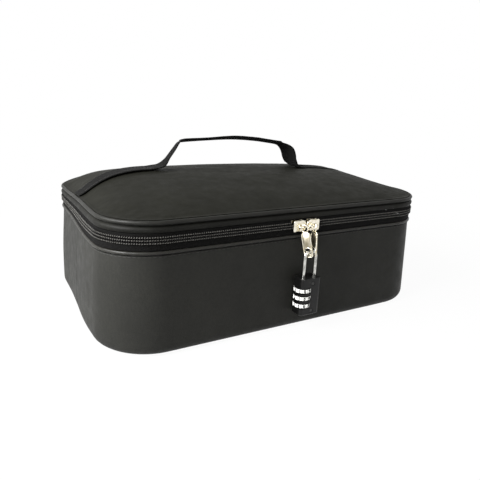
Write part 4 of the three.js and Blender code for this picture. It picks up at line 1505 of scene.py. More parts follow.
@dataclass
class Zip:
    """The two halves of the coil zip with their tapes, teeth, and stitches painted pale as a
    highlight of the coil.
    """

    level: float = 88.2
    tape_low: float = 80.7
    tape_high: float = 92.9
    tape_out: float = 0.4
    tape_thickness: float = 0.9
    chain: float = 2.9
    head: float = 0.15
    pitch: float = 1.7
    wire: float = 0.5
    pair_middle: float = 6.2
    window: float = 13.3
    window_foot: float = 4.2
    tape_reach: float = 0.9
    tape_steps: int = 420
    bead_length: float = 1.15
    bead_radius: float = 0.36

    def tape(self, row: Row) -> Shape:
        """One woven tape, from the seam to just short of the middle of the zip.

        Args:
            row: Side of the zip.

        Returns:
            The shape; the upper tape leaves a window behind the sliders.
        """
        run = np.linspace(*zip_span(), self.tape_steps)
        edge = self.level + row.value * self.tape_reach
        seam = self.tape_low if row is Row.LOWER else self.tape_high
        x, y = OUTLINE.at(run)[0].T
        window = (np.abs(x - self.pair_middle) < self.window) & (y < 0) & (row is Row.UPPER)
        foot = np.where(window, self.level + self.window_foot, min(edge, seam))
        head = max(edge, seam) + 0 * foot
        back = self.tape_out - self.tape_thickness
        corners = ((back, foot), (self.tape_out, foot), (self.tape_out, head), (back, head))
        return carried(np.stack([np.column_stack([out + 0 * run, level])
                                 for out, level in corners], 1), run, False)

    def teeth(self, row: Row, start: float, end: float) -> Shape:
        """One side of the coil: slanted loops that stand close together.

        Each loop is a flattened tube from the tape to its head past the zip's middle,
        higher in its middle than at its ends.

        Args:
            row: Side of the zip.
            start: Distance run to the first loop.
            end: Distance run to the last loop.

        Returns:
            The shape.
        """
        count = int((end - start) / self.pitch)
        run = start + (np.arange(count) + (0.25 if row is Row.LOWER else 0.75)) * self.pitch
        share = np.array([0, 0.12, 0.5, 0.86, 1.0])
        rise = self.tape_out + self.wire * (0.35 + 1.25 * np.sin(np.pi * (0.12 + 0.76 * share)))
        level = self.level + row.value * (self.chain + (-self.head - self.chain) * share)
        slant = 0.55 * (share - 0.5)
        wide = self.wire * np.array([0.5, 0.86, 0.8, 1.0, 0.55])
        side, lift = (wide[:, None] * way for way in circle(6).T)
        along = run[:, None, None] + slant[:, None] + side
        out = rise[:, None] + 0.9 * lift + 0 * along
        shape = Shape()
        shape.tubes(OUTLINE.lifted(along, out, level[:, None] + 0 * along), len(share), 6)
        return shape

    def stitches(self, row: Row, start: float, end: float) -> Shape:
        """The row of thread over one side of the coil, and the row of coil heads; the thread beads
        are stitching painted pale as a highlight of the coil loops, and the coil-head beads are
        painted highlight only.

        Args:
            row: Side of the zip.
            start: Distance run to the first stitch.
            end: Distance run to the last stitch.

        Returns:
            The shape.
        """
        shape = Shape()
        for reach, slope in ((2.1, 0.5), (-0.05, 0.1)) if row is Row.LOWER else ((2.1, 0.5),):
            count = int((end - start) / self.pitch)
            run = start + (np.arange(count) + 0.5) * self.pitch
            rise = self.tape_out + 1.35 * self.wire + (0.26 if reach > 1 else 0.2)
            level = self.level + row.value * reach + 0 * run
            place = OUTLINE.lifted(run, rise + 0 * run, level)
            way = OUTLINE.at(run)[1]
            out = np.column_stack([way, 0 * run])
            forward = np.column_stack([-way[:, 1], way[:, 0], slope + 0 * run])
            shape.beads(place, forward, out, self.bead_length, self.bead_radius, 0.8)
        return shape

    def build(self) -> None:
        """Makes both halves; the upper row leaves a window behind the sliders."""
        start, end = zip_span()
        front = OUTLINE.run_of(self.pair_middle)
        left = (start + 1, front - self.window)
        right = (front + self.window, end - 1)
        for row, body, node in ((Row.LOWER, "case", "zip_tape_lower"),
                                (Row.UPPER, "lid", "zip_tape_upper")):
            tape = self.tape(row).piece(f"{node}_cloth", TAPE)
            settle(tape, body, "zip_tape", node)
        lower = self.teeth(Row.LOWER, start + 1, end - 1)
        settle(lower.piece("zip_teeth_lower", COIL), "case", "coil", "zip_coil_lower")
        for side, span in ((Side.LEFT, left), (Side.RIGHT, right)):
            word = side.name.lower()
            upper = self.teeth(Row.UPPER, *span).piece(f"zip_teeth_upper_{word}", COIL)
            settle(upper, "lid", "coil", f"zip_coil_upper_{word}")
            # Pale thread beads on the lid's half: stitching painted pale as a highlight of the coil
            # loops.
            thread = self.stitches(Row.UPPER, *span)
            settle(thread.piece(f"zip_thread_upper_{word}", ZIP_THREAD_AND_HIGHLIGHT), "lid", "coil")
        # Pale beads on the base's half, stitching and coil heads, painted pale as highlights of the
        # coil loops.
        thread = self.stitches(Row.LOWER, start + 1, end - 1)
        settle(thread.piece("zip_thread_lower", ZIP_THREAD_AND_HIGHLIGHT), "case", "coil")


@dataclass
class BackHinge:
    """The cloth that joins lid and base at the back, with a folded piece at each zip end."""

    low: float = 80.7
    high: float = 92.9
    level: float = 87.6
    hinge_out: float = 0.5
    thickness: float = 1.2
    end_out: float = 0.9
    end_thickness: float = 1.8

    def strip(self, run: Array, out: float, thickness: float, crown: float) -> Shape:
        """A strip of cloth from the lower seam to the upper one, a little crowned.

        Args:
            run: Distances round the outline.
            out: How far its outside stands out.
            thickness: Its thickness.
            crown: How far it is crowned in its middle.

        Returns:
            The shape.
        """
        rise = np.linspace(0, 1, 13)
        level = self.low + (self.high - self.low) * rise
        outer = np.stack([out + crown * np.sin(np.pi * rise), level], 1)
        inner = np.stack([outer[:, 0] - thickness, level], 1)[::-1]
        return carried(np.concatenate([outer, inner]), run, False)

    def build(self) -> None:
        """Makes the hinge and the two end pieces, which run from base to lid."""
        high, zip_low = corner_run(HINGE_ANGLE), corner_run(ZIP_ANGLE)
        # The hinge cloth takes the darker leather copy, which carries painted shade.
        pieces = [("back_hinge_cloth", np.linspace(-high, high, 190), self.hinge_out,
                   self.thickness, SHADED_TRIM_LEATHER, "pu_leather",
                   ("hinge_strip_base", "hinge_strip_lid"))]
        for side, runs in ((Side.LEFT, (high + 0.3, zip_low - 0.3)),
                           (Side.RIGHT, (-zip_low + 0.3, -high - 0.3))):
            word = side.name.lower()
            pieces.append((f"zip_end_{word}_cloth", np.linspace(*runs, 12), self.end_out,
                           self.end_thickness, TAPE, "zip_tape",
                           (f"zip_end_base_{word}", f"zip_end_lid_{word}")))
        for name, run, out, thickness, finish, slot, nodes in pieces:
            piece = self.strip(run, out, thickness, 0.35).piece(name, finish)
            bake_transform(piece)
            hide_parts(*nodes)
            log.info("%s bends from case to lid", piece.name)


@dataclass(frozen=True)
class Ribbon:
    """A run of webbing: its middle line, the ways across and up from it, and its width."""

    line: Array
    across: Array
    up: Array
    width: Array

    def part(self, held: Array) -> "Ribbon":
        """The places of the run that are held."""
        return Ribbon(self.line[held], self.across[held], self.up[held], self.width[held])


@dataclass
class CarryStrap:
    """One length of webbing, sewn over the lid at both ends and free between them as a handle."""

    lid: Lid
    width: float = 20.0
    thickness: float = 1.4
    middle: float = 9.0
    end_inset: float = 1.0
    sewn_left: float = -86.0
    sewn_right: float = 85.0
    seam_left: Pair = (-144.0, -84.0)
    seam_right: Pair = (86.0, 148.0)
    seam_inset: float = 2.2
    cross_end: float = 108.0
    grip_seam: float = 3.4
    gap: float = 0.3
    lean: float = 15.0
    foot_level: float = 122.18
    grip_start: float = -53.5
    grip_end: float = 56.5
    grip_lift: float = 1.15
    grip_thickness: float = 1.0
    lifted: tuple[tuple[float, float, float, float], ...] = (
        (-80.0, 121.2, 1.0, 0), (-75.5, 121.9, 0.92, 0), (-72.0, 123.8, 0.78, 2),
        (-68.6, 127.0, 0.66, 3), (-64.7, 131.2, 0.62, 4), (-60.8, 135.6, 0.6, 3),
        (-57.4, 139.6, 0.58, 0), (-54.6, 142.3, 0.57, 0), (-50.0, 143.2, 0.56, 2),
        (-27.0, 144.2, 0.55, 5), (1.0, 145.4, 0.5, 0), (26.0, 143.9, 0.52, 2),
        (45.0, 141.4, 0.55, 4), (54.5, 139.9, 0.6, 2), (60.4, 137.0, 0.8, -4),
        (64.1, 132.8, 0.96, -9), (65.6, 127.6, 0.98, -11), (67.2, 122.4, 0.96, -8),
        (70.0, 119.0, 0.94, -3), (73.8, 117.0, 0.98, 0), (78.8, 116.2, 1.0, 0))

    def run(self) -> Ribbon:
        """The webbing from end to end.

        On the lid it keeps to the leather; between, it runs through the lifted places. Across
        is the Y axis, turned down by the lean where the handle stands free, then turned round
        the line by its own twist.

        Returns:
            The whole run.
        """
        end = OUTLINE.width / 2 - self.end_inset
        rest = self.gap + self.thickness / 2
        sewn = [np.column_stack([x, self.lid.height(x) + rest
                                 - self.lid.pressed(x, self.middle + 0 * x), 1 + 0 * x, 0 * x])
                for x in (np.linspace(*ends, 26) for ends in ((-end, self.sewn_left),
                                                              (self.sewn_right, end)))]
        knots = np.concatenate([sewn[0], np.array(self.lifted), sewn[1]])
        x, z, share, twist = threaded(knots, 8).T
        rise = np.maximum(z - self.foot_level, 0)
        y = self.lid.strap_line(x) + rise * math.tan(math.radians(self.lean))
        path = np.column_stack([x, y, z])
        lean = math.radians(self.lean) * eased(z, self.foot_level, self.foot_level + 8)
        ahead = unit(np.gradient(path, axis=0))
        across = np.column_stack([0 * lean, np.cos(lean), -np.sin(lean)])
        across = unit(across - ahead * np.sum(across * ahead, 1)[:, None])
        up = np.cross(ahead, across)
        turn = np.radians(twist)[:, None]
        cos, sin = np.cos(turn), np.sin(turn)
        return Ribbon(path, across * cos + up * sin, up * cos - across * sin, share * self.width)

    def profile(self, width: Array, thickness: Array | float, fold: Array) -> Array:
        """A flat strap's section: a rounded bar, thicker at its two woven edges.

        Args:
            width: Width at each place.
            thickness: Thickness of the bar.
            fold: How far its edges stand up from its middle.

        Returns:
            Side and height pairs, one set for each place.
        """
        cos, sin = circle(24).T
        across, rise = np.sign(cos) * np.abs(cos) ** 0.35, np.sign(sin) * np.abs(sin) ** 0.6
        edge = 1 + 0.18 * mound(np.abs(across), 0.86, 0.1)
        wide = np.asarray(width)[:, None] / 2 * across[None]
        thick = np.broadcast_to(thickness, np.shape(width))[:, None] / 2
        high = thick * (rise * edge)[None] + fold[:, None] * across ** 2
        return np.stack([wide, high + 0 * wide], 2)

    def build(self) -> None:
        """Makes the webbing, the sewn-on grip and the stitches of both."""
        web = self.run()
        free = eased(web.line[:, 2], self.foot_level + 1, self.foot_level + 10)
        curl = -0.45 * free * (1 - web.width / self.width)
        shape = Shape()
        thick = self.thickness * (1 - 0.22 * free)
        shape.swept(web.line, web.across, web.up, self.profile(web.width, thick, curl))
        # The webbing's near-black colour includes painted shade.
        webbing = shape.piece("carry_webbing", SHADED_WEBBING, 60)
        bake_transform(webbing)
        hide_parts("strap_left", "strap_right", "handle_web")
        log.info("%s bends from lid to handle", webbing.name)
        self.grip(web)
        self.sew(web)

    def grip(self, web: Ribbon) -> None:
        """The second layer on the middle of the webbing, its edges folded down, and its seam.

        Args:
            web: The webbing.
        """
        x = web.line[:, 0]
        part = web.part((x > self.grip_start) & (x < self.grip_end))
        line = part.line + part.up * self.grip_lift
        x = line[:, 0]
        ends = np.minimum(eased(x, self.grip_start, self.grip_start + 3),
                          1 - eased(x, self.grip_end - 3, self.grip_end))
        fold = -0.16 + 0.06 * Ripple(41, 9).at(x, 0 * x)
        section = self.profile(part.width + 0.5, self.grip_thickness, fold)
        section = section * (0.55 + 0.45 * ends)[:, None, None]
        shape = Shape()
        shape.swept(line, part.across, part.up, section)
        # The grip uses the same darkened webbing, with painted shade in its colour.
        settle(shape.piece("grip_webbing", SHADED_WEBBING, 60), "handle", "webbing", "handle_grip")
        rows = Shape()
        for edge in (-1, 1):
            seam = (line + part.across * edge * self.grip_seam
                    + part.up * (self.grip_thickness / 2 - 0.1))
            rows.merge(stitched(seam[6:-6], part.up[6:-6], Thread.FINE, 0.2))
        settle(rows.piece("grip_stitches", SEAM_THREAD), "handle", "webbing")

    def sew(self, web: Ribbon) -> None:
        """Stitched lines inside both edges of the sewn runs, and a cross at each handle foot.

        Args:
            web: The webbing.
        """
        x = web.line[:, 0]
        reach = self.width / 2 - self.seam_inset
        for side, (near, far) in ((Side.LEFT, self.seam_left), (Side.RIGHT, self.seam_right)):
            part = web.part((x > near) & (x < far))
            line = part.line + part.up * (self.thickness / 2 + 0.05)
            rows = Shape()
            for edge in (-1, 1):
                rows.merge(stitched(line + part.across * edge * reach, part.up, Thread.FINE, 0.2))
            foot = np.abs(line[:, 0]) < self.cross_end
            run = np.linspace(-1, 1, int(foot.sum()))[:, None]
            for slope in (-1, 1):
                cross = line[foot] + part.across[foot] * run * slope * reach
                rows.merge(stitched(cross, part.up[foot], Thread.FINE, 0.2))
            word = side.name.lower()
            settle(rows.piece(f"strap_{word}_stitches", SEAM_THREAD), "lid", "webbing")


@dataclass
class Slider:
    """A nickel slider: two flared plates, the flanges between them and its loop for the pull."""

    side: Side
    middle: float = 6.2
    pitch: float = 12.7
    level: float = 87.6
    front: float = 102.5
    back_plate: Pair = (-2.4, -1.3)
    front_plate: Pair = (1.7, 2.8)
    tape_slot: Pair = (-0.8, 0.7)
    flange: float = 0.6
    flange_inset: float = 3.75
    loop_middle: float = 1.45
    loop_half: float = 3.9
    loop_out: float = 6.05
    loop_bend: float = 1.8
    loop_radius: float = 0.75
    loop_sides: int = 14
    flange_ends: Pair = (-5.6, 3.4)
    post_ends: Pair = (1.6, 4.6)
    post_half: float = 0.25
    half_outline: tuple[Pair, ...] = (
        (-6.15, 0.0), (-6.2, 2.6), (-5.9, 4.1), (-5.0, 4.6), (-3.6, 4.3), (-2.2, 4.1),
        (-0.6, 4.25), (1.2, 4.65), (2.8, 4.6), (4.4, 3.9), (5.5, 2.6), (6.05, 1.2), (6.2, 0.0))

    def outline(self) -> Array:
        """The plate's outline: a smooth line through the half outline and its mirror image.

        Returns:
            Points in the plate's plane.
        """
        half = np.array(self.half_outline)
        knots = np.concatenate([half[::-1], (half * [1, -1])[1:-1]])
        closed = threaded(np.concatenate([knots[-2:], knots, knots[:2]]), 4)
        return closed[8:-4][:4 * len(knots)]

    def stand(self, shape: Shape) -> Shape:
        """Turns a shape from the slider's own place into the case's.

        Args:
            shape: The shape.

        Returns:
            The same shape.
        """
        way = -float(self.side.value)
        origin = [self.middle + self.side.value * self.pitch / 2, -self.front, self.level]
        return shape.placed(np.array([[way, 0, 0], [0, 0, way], [0, -1.0, 0]]), origin)

    def build(self) -> None:
        """Makes the slider's body and its loop as one piece."""
        outline = self.outline()
        shape = Shape()
        shape.plate(outline, *self.back_plate, 0.3)
        shape.plate(outline, *self.front_plate, 0.42)
        shape.plate(outline * [0.5, 0.34] + [0.6, 0], self.front_plate[1] - 0.3,
                    self.front_plate[1] + 0.18, 0.16)
        for edge in (self.flange_inset, -self.flange_inset - self.flange):
            bar = block(self.flange_ends, (edge, edge + self.flange))
            shape.plate(bar, self.tape_slot[1], self.front_plate[0] + 0.3, 0.12)
            shape.plate(bar, self.back_plate[1] - 0.3, self.tape_slot[0], 0.12)
        post = block(self.post_ends, (-self.post_half, self.post_half))
        shape.plate(post, self.back_plate[1] - 0.2, self.front_plate[0] + 0.2, 0.05)
        foot = self.front_plate[1] - 0.6
        corners = bail((self.loop_middle - self.loop_half, self.loop_middle + self.loop_half), 0,
                       self.loop_out, (foot, foot))
        shape.wire(rounded(corners, self.loop_bend), np.array([0, 1.0, 0]), self.loop_radius,
                   self.loop_sides)
        word = self.side.name.lower()
        piece = self.stand(shape).piece(f"{word}_slider_body", NICKEL, 50)
        settle(piece, f"{word}_slider", "nickel", f"slider_{word}")


@dataclass
class PullTab:
    """A pull tab: a plate with a raised border, a round wire eye and a hole for the shackle."""

    side: Side
    middle: float = 6.2
    eye_half: float = 4.9
    hole_half: float = 2.6
    eye: Pair = (-108.85, 87.1)
    hole: Pair = (-112.937, 68.186)
    turns: Pair = (30.0, 0.0)
    half_width: float = 4.0
    top: float = -3.8
    foot: float = 4.9
    corner: float = 2.3
    thickness: float = 0.9
    hole_radius: float = 2.9
    border: float = 0.5
    height: float = 0.72
    ring_radii: Pair = (2.6, 3.0)
    ring_shift: float = -0.65
    wire: float = 0.5

    def axes(self) -> tuple[Array, Array, float]:
        """Where the tab stands.

        Returns:
            Its axes row by row, the middle of its eye and the reach from there to its hole.
        """
        way = self.side.value
        eye = np.array([self.middle + way * self.eye_half, *self.eye])
        hole = np.array([self.middle + way * self.hole_half, *self.hole])
        reach = float(np.linalg.norm(eye - hole))
        up = (eye - hole) / reach
        turn = math.radians(self.turns[0] if self.side is Side.LEFT else self.turns[1])
        across = np.array([math.sin(turn), -math.cos(turn), 0])
        across = unit(across - up * (across @ up))
        return np.stack([across, up, np.cross(across, up)]), eye, reach

    def loop(self, shape: Shape, path: Array, radius: float, flat: float) -> None:
        """Adds a closed wire in the tab's plane.

        Args:
            shape: The shape that it is added to.
            path: Points of its middle, without the first one again.
            radius: Half of its width.
            flat: Half of its height.
        """
        points = np.column_stack([path, 0 * path[:, 0]])
        ahead = unit(np.roll(points, -1, 0) - np.roll(points, 1, 0))
        side = np.cross(ahead, np.array([0, 0, 1.0]))
        up = np.broadcast_to([0, 0, 1.0], points.shape)
        shape.swept(points, side, up, circle(12) * [radius, flat], closed=True)

    def outline(self, reach: float, inset: float) -> Array:
        """The plate's outline: a rectangle with round corners, evenly sampled.

        Args:
            reach: Distance from the eye's middle to the hole's.
            inset: How far it lies inside the plate's edge.

        Returns:
            Points in the tab's plane.
        """
        half, radius = self.half_width - inset, self.corner - inset
        low, high = -(reach + self.foot) + inset, self.top - inset
        turn = np.linspace(0, np.pi / 2, 7)
        bends = []
        for x, y, lift, start in ((1, low, 1, -1), (1, high, -1, 0), (-1, high, -1, 1),
                                  (-1, low, 1, 2)):
            angle = turn + start * np.pi / 2
            middle = np.array([x * (half - radius), y + lift * radius])
            bends.append(middle + radius * np.stack([np.cos(angle), np.sin(angle)], 1))
        ring = np.concatenate([*bends, bends[0][:1]])
        run = run_along(ring)
        return sampled(np.linspace(0, run[-1], 97)[:-1], run, ring)

    def plate(self, reach: float) -> Shape:
        """The plate with its hole: sections from the edge to the hole, carried once round.

        Args:
            reach: Distance from the eye's middle to the hole's.

        Returns:
            The shape.
        """
        centre = np.array([0, -reach])
        high, edge = self.thickness / 2, 0.25
        steps = [(edge, high), (0, high - edge), (0, edge - high), (edge, -high)]
        way = unit(self.outline(reach, 0) - centre)
        rows = [(self.outline(reach, inset), level) for inset, level in steps]
        rows += [(centre + way * (self.hole_radius + inset), level) for inset, level in steps[::-1]]
        shape = Shape()
        shape.grid(np.stack([np.column_stack([flat, level + 0 * flat[:, 0]])
                             for flat, level in rows], 1), closed=True)
        return shape

    def build(self) -> None:
        """Makes the plate, and the border and both wires over it."""
        axes, eye, reach = self.axes()
        word = self.side.name.lower()
        # The plate takes the darker nickel copy, which paints shade on the tab face.
        plate = self.plate(reach).placed(axes, eye).piece(f"{word}_pull_plate", SHADED_NICKEL, 50)
        settle(plate, f"{word}_pull", "nickel", f"pull_{word}")
        shape = Shape()
        self.loop(shape, self.outline(reach, self.border), self.border, self.height)
        ring = circle(32)
        self.loop(shape, ring * self.ring_radii + [0, self.ring_shift], self.wire, self.height)
        self.loop(shape, ring * (self.hole_radius + 0.4) + [0, -reach], 0.4, self.height)
        rim = shape.placed(axes, eye).piece(f"{word}_pull_rim", NICKEL, 60)
        settle(rim, f"{word}_pull", "nickel")


@dataclass(frozen=True)
class Machined:
    """A finished copy of a plain node: its corners joined, its sharp edges rounded."""

    node: str
    name: str
    body: str
    slot: str
    finish: Finish
    edge: float = 0.0
    steps: int = 3
    sharp: float = 32.0

    def build(self) -> Piece:
        """Copies the node, joins its points and flat faces, rounds it and settles it.

        Returns:
            The piece.
        """
        mesh = frame["nodes"][self.node].data.copy()
        mesh.name = self.name
        joined = bmesh.new()
        joined.from_mesh(mesh)
        bmesh.ops.remove_doubles(joined, verts=joined.verts, dist=0.002 * METRES)
        bmesh.ops.dissolve_limit(joined, angle_limit=math.radians(0.6), verts=joined.verts,
                                 edges=joined.edges)
        bmesh.ops.recalc_face_normals(joined, faces=joined.faces)
        joined.to_mesh(mesh)
        joined.free()
        for layer in list(mesh.uv_layers):
            mesh.uv_layers.remove(layer)
        mesh.materials.clear()
        mesh.materials.append(self.finish.material())
        mesh.shade_smooth()
        mesh.set_sharp_from_angle(angle=math.radians(self.sharp))
        piece = shown(self.name, mesh)
        if self.edge:
            round_off = piece.modifiers.new("edges", "BEVEL")
            round_off.width = self.edge * METRES
            round_off.segments = self.steps
            round_off.limit_method = "ANGLE"
            round_off.angle_limit = math.radians(self.sharp)
            round_off.harden_normals = True
        return settle(piece, self.body, self.slot, self.node)


@dataclass
class Shackle:
    """The bent wire of the padlock: a long leg with fins for the dials, and a short one."""

    long_leg: float = 0.9
    short_leg: float = 11.5
    depth: float = -112.937
    top: float = 67.9
    bottom: float = 19.85
    short_bottom: float = 41.8
    bend: float = 3.6
    radius: float = 1.4
    fin_levels: tuple[float, ...] = (34.1, 27.7, 21.3)
    fin_reach: float = 1.0
    fin_half: float = 0.55

    def build(self) -> None:
        """Makes the wire and its fins as one piece."""
        corners = bail((self.long_leg, self.short_leg), self.depth, self.top,
                       (self.bottom, self.short_bottom))
        shape = Shape()
        shape.wire(rounded(corners, self.bend, 14), np.array([0, 1.0, 0]), self.radius, 28)
        half = self.fin_half
        fin = block((self.long_leg - self.radius - self.fin_reach, self.long_leg),
                    (self.depth - half, self.depth + half))
        for level in self.fin_levels:
            shape.plate(fin, level - half, level + half, 0.1)
        settle(shape.piece("shackle_wire", CHROME, 50), "hoop", "chrome", "shackle")


@dataclass
class Dial:
    """A number wheel: a dark core, and a pale band of ten faces with a digit on each."""

    number: int
    body: str
    level: float
    middle: Pair = (0.9, -112.937)
    radius: float = 7.2
    thickness: float = 4.2
    hole: float = 3.6
    faces: int = 10
    face_share: float = 0.72
    groove: float = 0.35
    chamfer: float = 0.35
    band_height: float = 2.9
    band_depth: float = 0.8
    rim_drop: float = 0.3
    digit_height: float = 2.3
    capital_share: float = 0.7
    stroke_growth: float = 0.19
    print_depth: float = 0.03
    first_angle: float = 252.0

    def outline(self) -> tuple[Array, Array]:
        """The number band's radius by angle.

        Within a face the radius is that of a flat, R cos(h) / cos(a) for h half of its angle;
        between two faces it falls smoothly into the groove.

        Returns:
            Radii and angles, once round.
        """
        step = 2 * np.pi / self.faces
        half = self.face_share * step / 2
        a = np.linspace(-step / 2, step / 2, 17)[:-1]
        flat = self.radius * np.cos(half) / np.cos(a)
        fall = self.radius - self.groove * eased(np.abs(a), half, step / 2)
        reach = np.tile(np.where(np.abs(a) <= half, flat, fall), self.faces)
        return reach, (np.arange(self.faces)[:, None] * step + a[None]).ravel()

    def turned(self, radii: Sequence[Array | float], levels: Sequence[float]) -> Shape:
        """A body of the wheel: a closed section carried once round its middle.

        Args:
            radii: Radius of each corner of the section, alike or by angle.
            levels: Height of each corner over the wheel's middle.

        Returns:
            The shape.
        """
        _, angle = self.outline()
        radius = np.stack([np.broadcast_to(r, angle.shape) for r in radii], 1)
        x = self.middle[0] + radius * np.cos(angle)[:, None]
        y = self.middle[1] + radius * np.sin(angle)[:, None]
        shape = Shape()
        shape.grid(np.stack([x, y, self.level + np.array(levels) + 0 * x], 2), closed=True)
        return shape

    def digits(self) -> Piece:
        """The ten digits, each a thin raised print on its face.

        Returns:
            The object.
        """
        step = 360 / self.faces
        flat = self.radius * math.cos(math.radians(self.face_share * step / 2))
        print_mesh = bmesh.new()
        for digit in range(self.faces):
            curve = bpy.data.curves.new("digit", "FONT")
            curve.body, curve.size = str(digit), self.digit_height / self.capital_share * METRES
            curve.extrude, curve.offset = self.print_depth * METRES, self.stroke_growth * METRES
            curve.resolution_u = 3
            holder = bpy.data.objects.new("digit", curve)
            mesh = bpy.data.meshes.new_from_object(holder)
            place = corners_of(mesh)
            place[:, :2] -= (place[:, :2].max(0) + place[:, :2].min(0)) / 2
            angle = math.radians(self.first_angle - digit * step)
            out = np.array([math.cos(angle), math.sin(angle), 0])
            right = np.array([-math.sin(angle), math.cos(angle), 0])
            centre = np.array([*self.middle, self.level]) * METRES + out * (flat + 0.01) * METRES
            place = centre + place @ np.stack([right, [0, 0, 1], out])
            mesh.vertices.foreach_set("co", place.ravel())
            print_mesh.from_mesh(mesh)
            bpy.data.objects.remove(holder)
            bpy.data.meshes.remove(mesh)
            bpy.data.curves.remove(curve)
        bmesh.ops.remove_doubles(print_mesh, verts=print_mesh.verts, dist=0.004 * METRES)
        bmesh.ops.recalc_face_normals(print_mesh, faces=print_mesh.faces)
        made = bpy.data.meshes.new(f"dial_{self.number}_digits")
        print_mesh.to_mesh(made)
        print_mesh.free()
        made.materials.append(DIAL_INK.material())
        return shown(made.name, made)

    def build(self) -> None:
        """Makes the band, the core, the digits and the notched sleeve in the hole."""
        reach, _ = self.outline()
        high, cut, band = self.thickness / 2, self.chamfer, self.band_height / 2
        seat = self.radius - self.groove - self.band_depth
        rim = self.radius - self.rim_drop
        number_band = self.turned([seat, reach - 0.15, reach, reach, reach - 0.15, seat],
                                  [-band, -band, 0.15 - band, band - 0.15, band, band])
        wheel = number_band.piece(f"dial_{self.number}_band", DIAL_WHITE, 28)
        settle(wheel, self.body, "dial_white", f"dial_{self.number}")
        core = self.turned([self.hole, rim - cut, rim, rim, seat - 0.03, seat - 0.03, rim, rim,
                            rim - cut, self.hole],
                           [-high, -high, cut - high, -band - 0.03, -band - 0.03, band + 0.03,
                            band + 0.03, high - cut, high, high])
        settle(core.piece(f"dial_{self.number}_wheel", BLACK_ENAMEL, 28), self.body, "enamel")
        settle(self.digits(), self.body, "enamel")
        Machined(f"sleeve_{self.number}", f"dial_{self.number}_sleeve", self.body,
                 "spring_steel", STEEL, 0.08, 2).build()


@dataclass
class Padlock:
    """The small dial padlock that holds both pulls."""

    top_dial: float = 37.3
    pitch: float = 6.4
    dials: tuple[str, ...] = ("upper_dial", "middle_dial", "lower_dial")

    def build(self) -> None:
        """Makes the body, its small pieces, the shackle and the dials."""
        for node, name, slot, finish, edge, steps in (
                ("lock_body", "lock_case", "enamel", BLACK_ENAMEL, 0.22, 3),
                ("rivet_upper", "lock_pin_upper", "enamel", PIN_ENAMEL, 0.3, 3),
                ("rivet_lower", "lock_pin_lower", "enamel", PIN_ENAMEL, 0.3, 3),
                ("bottom_plug", "lock_foot_plug", "enamel", BLACK_ENAMEL, 0.15, 3),
                ("shackle_spring", "shackle_lift_spring", "spring_steel", STEEL, 0, 3),
                ("detent_spring", "dial_click_spring", "spring_steel", STEEL, 0.08, 2)):
            Machined(node, name, "lock", slot, finish, edge, steps).build()
        Shackle().build()
        for number, body in enumerate(self.dials):
            Dial(number + 1, body, self.top_dial - number * self.pitch).build()


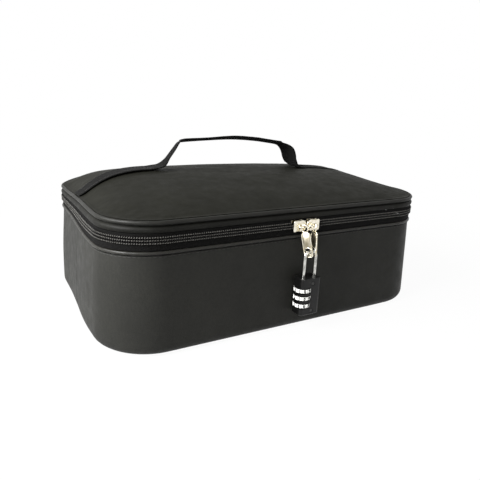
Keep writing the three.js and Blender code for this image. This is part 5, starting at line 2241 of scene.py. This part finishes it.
@dataclass
class Studio:
    """The plain floor, the soft light and the camera at the photograph's angle."""

    place: tuple[float, float, float] = (-224.578, -402.087, 184.268)
    right: tuple[float, float, float] = (0.87306, -0.48602, 0.03937)
    up: tuple[float, float, float] = (0.10609, 0.26815, 0.95752)
    back: tuple[float, float, float] = (-0.47593, -0.83180, 0.28567)
    lens: float = 36.112
    world_level: float = 0.2
    floor_reach: float = 6.0
    fade_from: float = 0.22
    fade_to: float = 0.5
    pale: float = 0.96
    lamps: tuple[tuple[tuple[float, float, float], float, float], ...] = (
        ((-0.84, -0.11, 0.55), 0.6, 25.0),
        ((-0.9, -1.0, 0.7), 0.9, 2.4),
        ((0.3, 0.9, 1.3), 0.9, 1.0),
    )

    def build(self) -> None:
        """Sets the camera, the lamps, the surroundings and the floor."""
        scene = bpy.context.scene
        scene.view_settings.view_transform = "Standard"
        camera = shown("camera", bpy.data.cameras.new("camera"))
        camera.data.lens, camera.data.sensor_width = self.lens, 36.0
        turn = Matrix([self.right, self.up, self.back]).transposed().to_4x4()
        camera.matrix_world = Matrix.Translation(Vector(self.place) * METRES) @ turn
        scene.camera = camera
        for number, (place, size, power) in enumerate(self.lamps):
            lamp = bpy.data.lights.new(f"lamp_{number + 1}", "AREA")
            lamp.size, lamp.energy = size, power
            holder = shown(lamp.name, lamp)
            holder.location = place
            aim = Vector((0, 0, 0.06)) - Vector(place)
            holder.rotation_euler = aim.to_track_quat("-Z", "Y").to_euler()
        self.surroundings()
        self.floor()

    def seen(self, nodes: Nodes) -> Socket:
        """One for what the camera, metal or glass sees, and zero for light on the object.

        Args:
            nodes: The nodes that it is added to.

        Returns:
            The factor socket.
        """
        rays = nodes.add("ShaderNodeLightPath").outputs
        first = nodes.mix(rays["Is Camera Ray"], rays["Is Glossy Ray"], "MAXIMUM")
        return nodes.mix(first, rays["Is Transmission Ray"], "MAXIMUM")

    def surroundings(self) -> None:
        """A white background over an even, softer light."""
        world = bpy.data.worlds.new("studio")
        bpy.context.scene.world = world
        world.use_nodes = True
        nodes = Nodes(world.node_tree)
        light, white = (nodes.add("ShaderNodeBackground", Color=(1, 1, 1, 1), Strength=level)
                        for level in (self.world_level, 1.0))
        mixed = nodes.wired("ShaderNodeMixShader", 0, {0: self.seen(nodes), 1: light.outputs[0],
                                                       2: white.outputs[0]})
        nodes.join(mixed, nodes.add("ShaderNodeOutputWorld").inputs["Surface"])

    def floor(self) -> None:
        """A pale floor that keeps a faint shadow and fades into the white background."""
        reach = self.floor_reach
        corners = [(-reach, -reach, 0), (reach, -reach, 0), (reach, reach, 0), (-reach, reach, 0)]
        mesh = bpy.data.meshes.new("floor")
        mesh.from_pydata(corners, [], [[0, 1, 2, 3]])
        ground = shown("floor", mesh)
        bench = Bench("floor_white")
        bench.set(Base_Color=(0.9, 0.9, 0.9, 1), Roughness=0.9, Specular_IOR_Level=0.1)
        glow = bench.wired("ShaderNodeEmission", 0, {}, Color=(1, 1, 1, 1), Strength=1.0)
        distance = bench.wired("ShaderNodeVectorMath", "Value", {0: bench.space},
                               operation="LENGTH")
        fade = bench.wired("ShaderNodeMapRange", "Result", {"Value": distance}, To_Max=1.0,
                           From_Min=self.fade_from, From_Max=self.fade_to, To_Min=self.pale)
        share = bench.mix(self.seen(bench), fade)
        mixed = bench.wired("ShaderNodeMixShader", 0, {0: share, 1: bench.shader.outputs[0],
                                                       2: glow})
        bench.join(mixed, bench.output.inputs["Surface"])
        mesh.materials.append(bench.material)


def main() -> None:
    """Builds the studio and the sub-assemblies in order and reports each piece."""
    logging.basicConfig(level=logging.INFO, format="%(message)s")
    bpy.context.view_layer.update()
    Studio().build()
    Base().build()
    lid = Lid()
    lid.build()
    Zip().build()
    BackHinge().build()
    CarryStrap(lid).build()
    for side in Side:
        Slider(side).build()
        PullTab(side).build()
    Machined("bottom_board", "stiff_bottom_board", "case", "board", BOARD, 0.4, 2).build()
    Padlock().build()


if __name__ == "__main__":
    main()
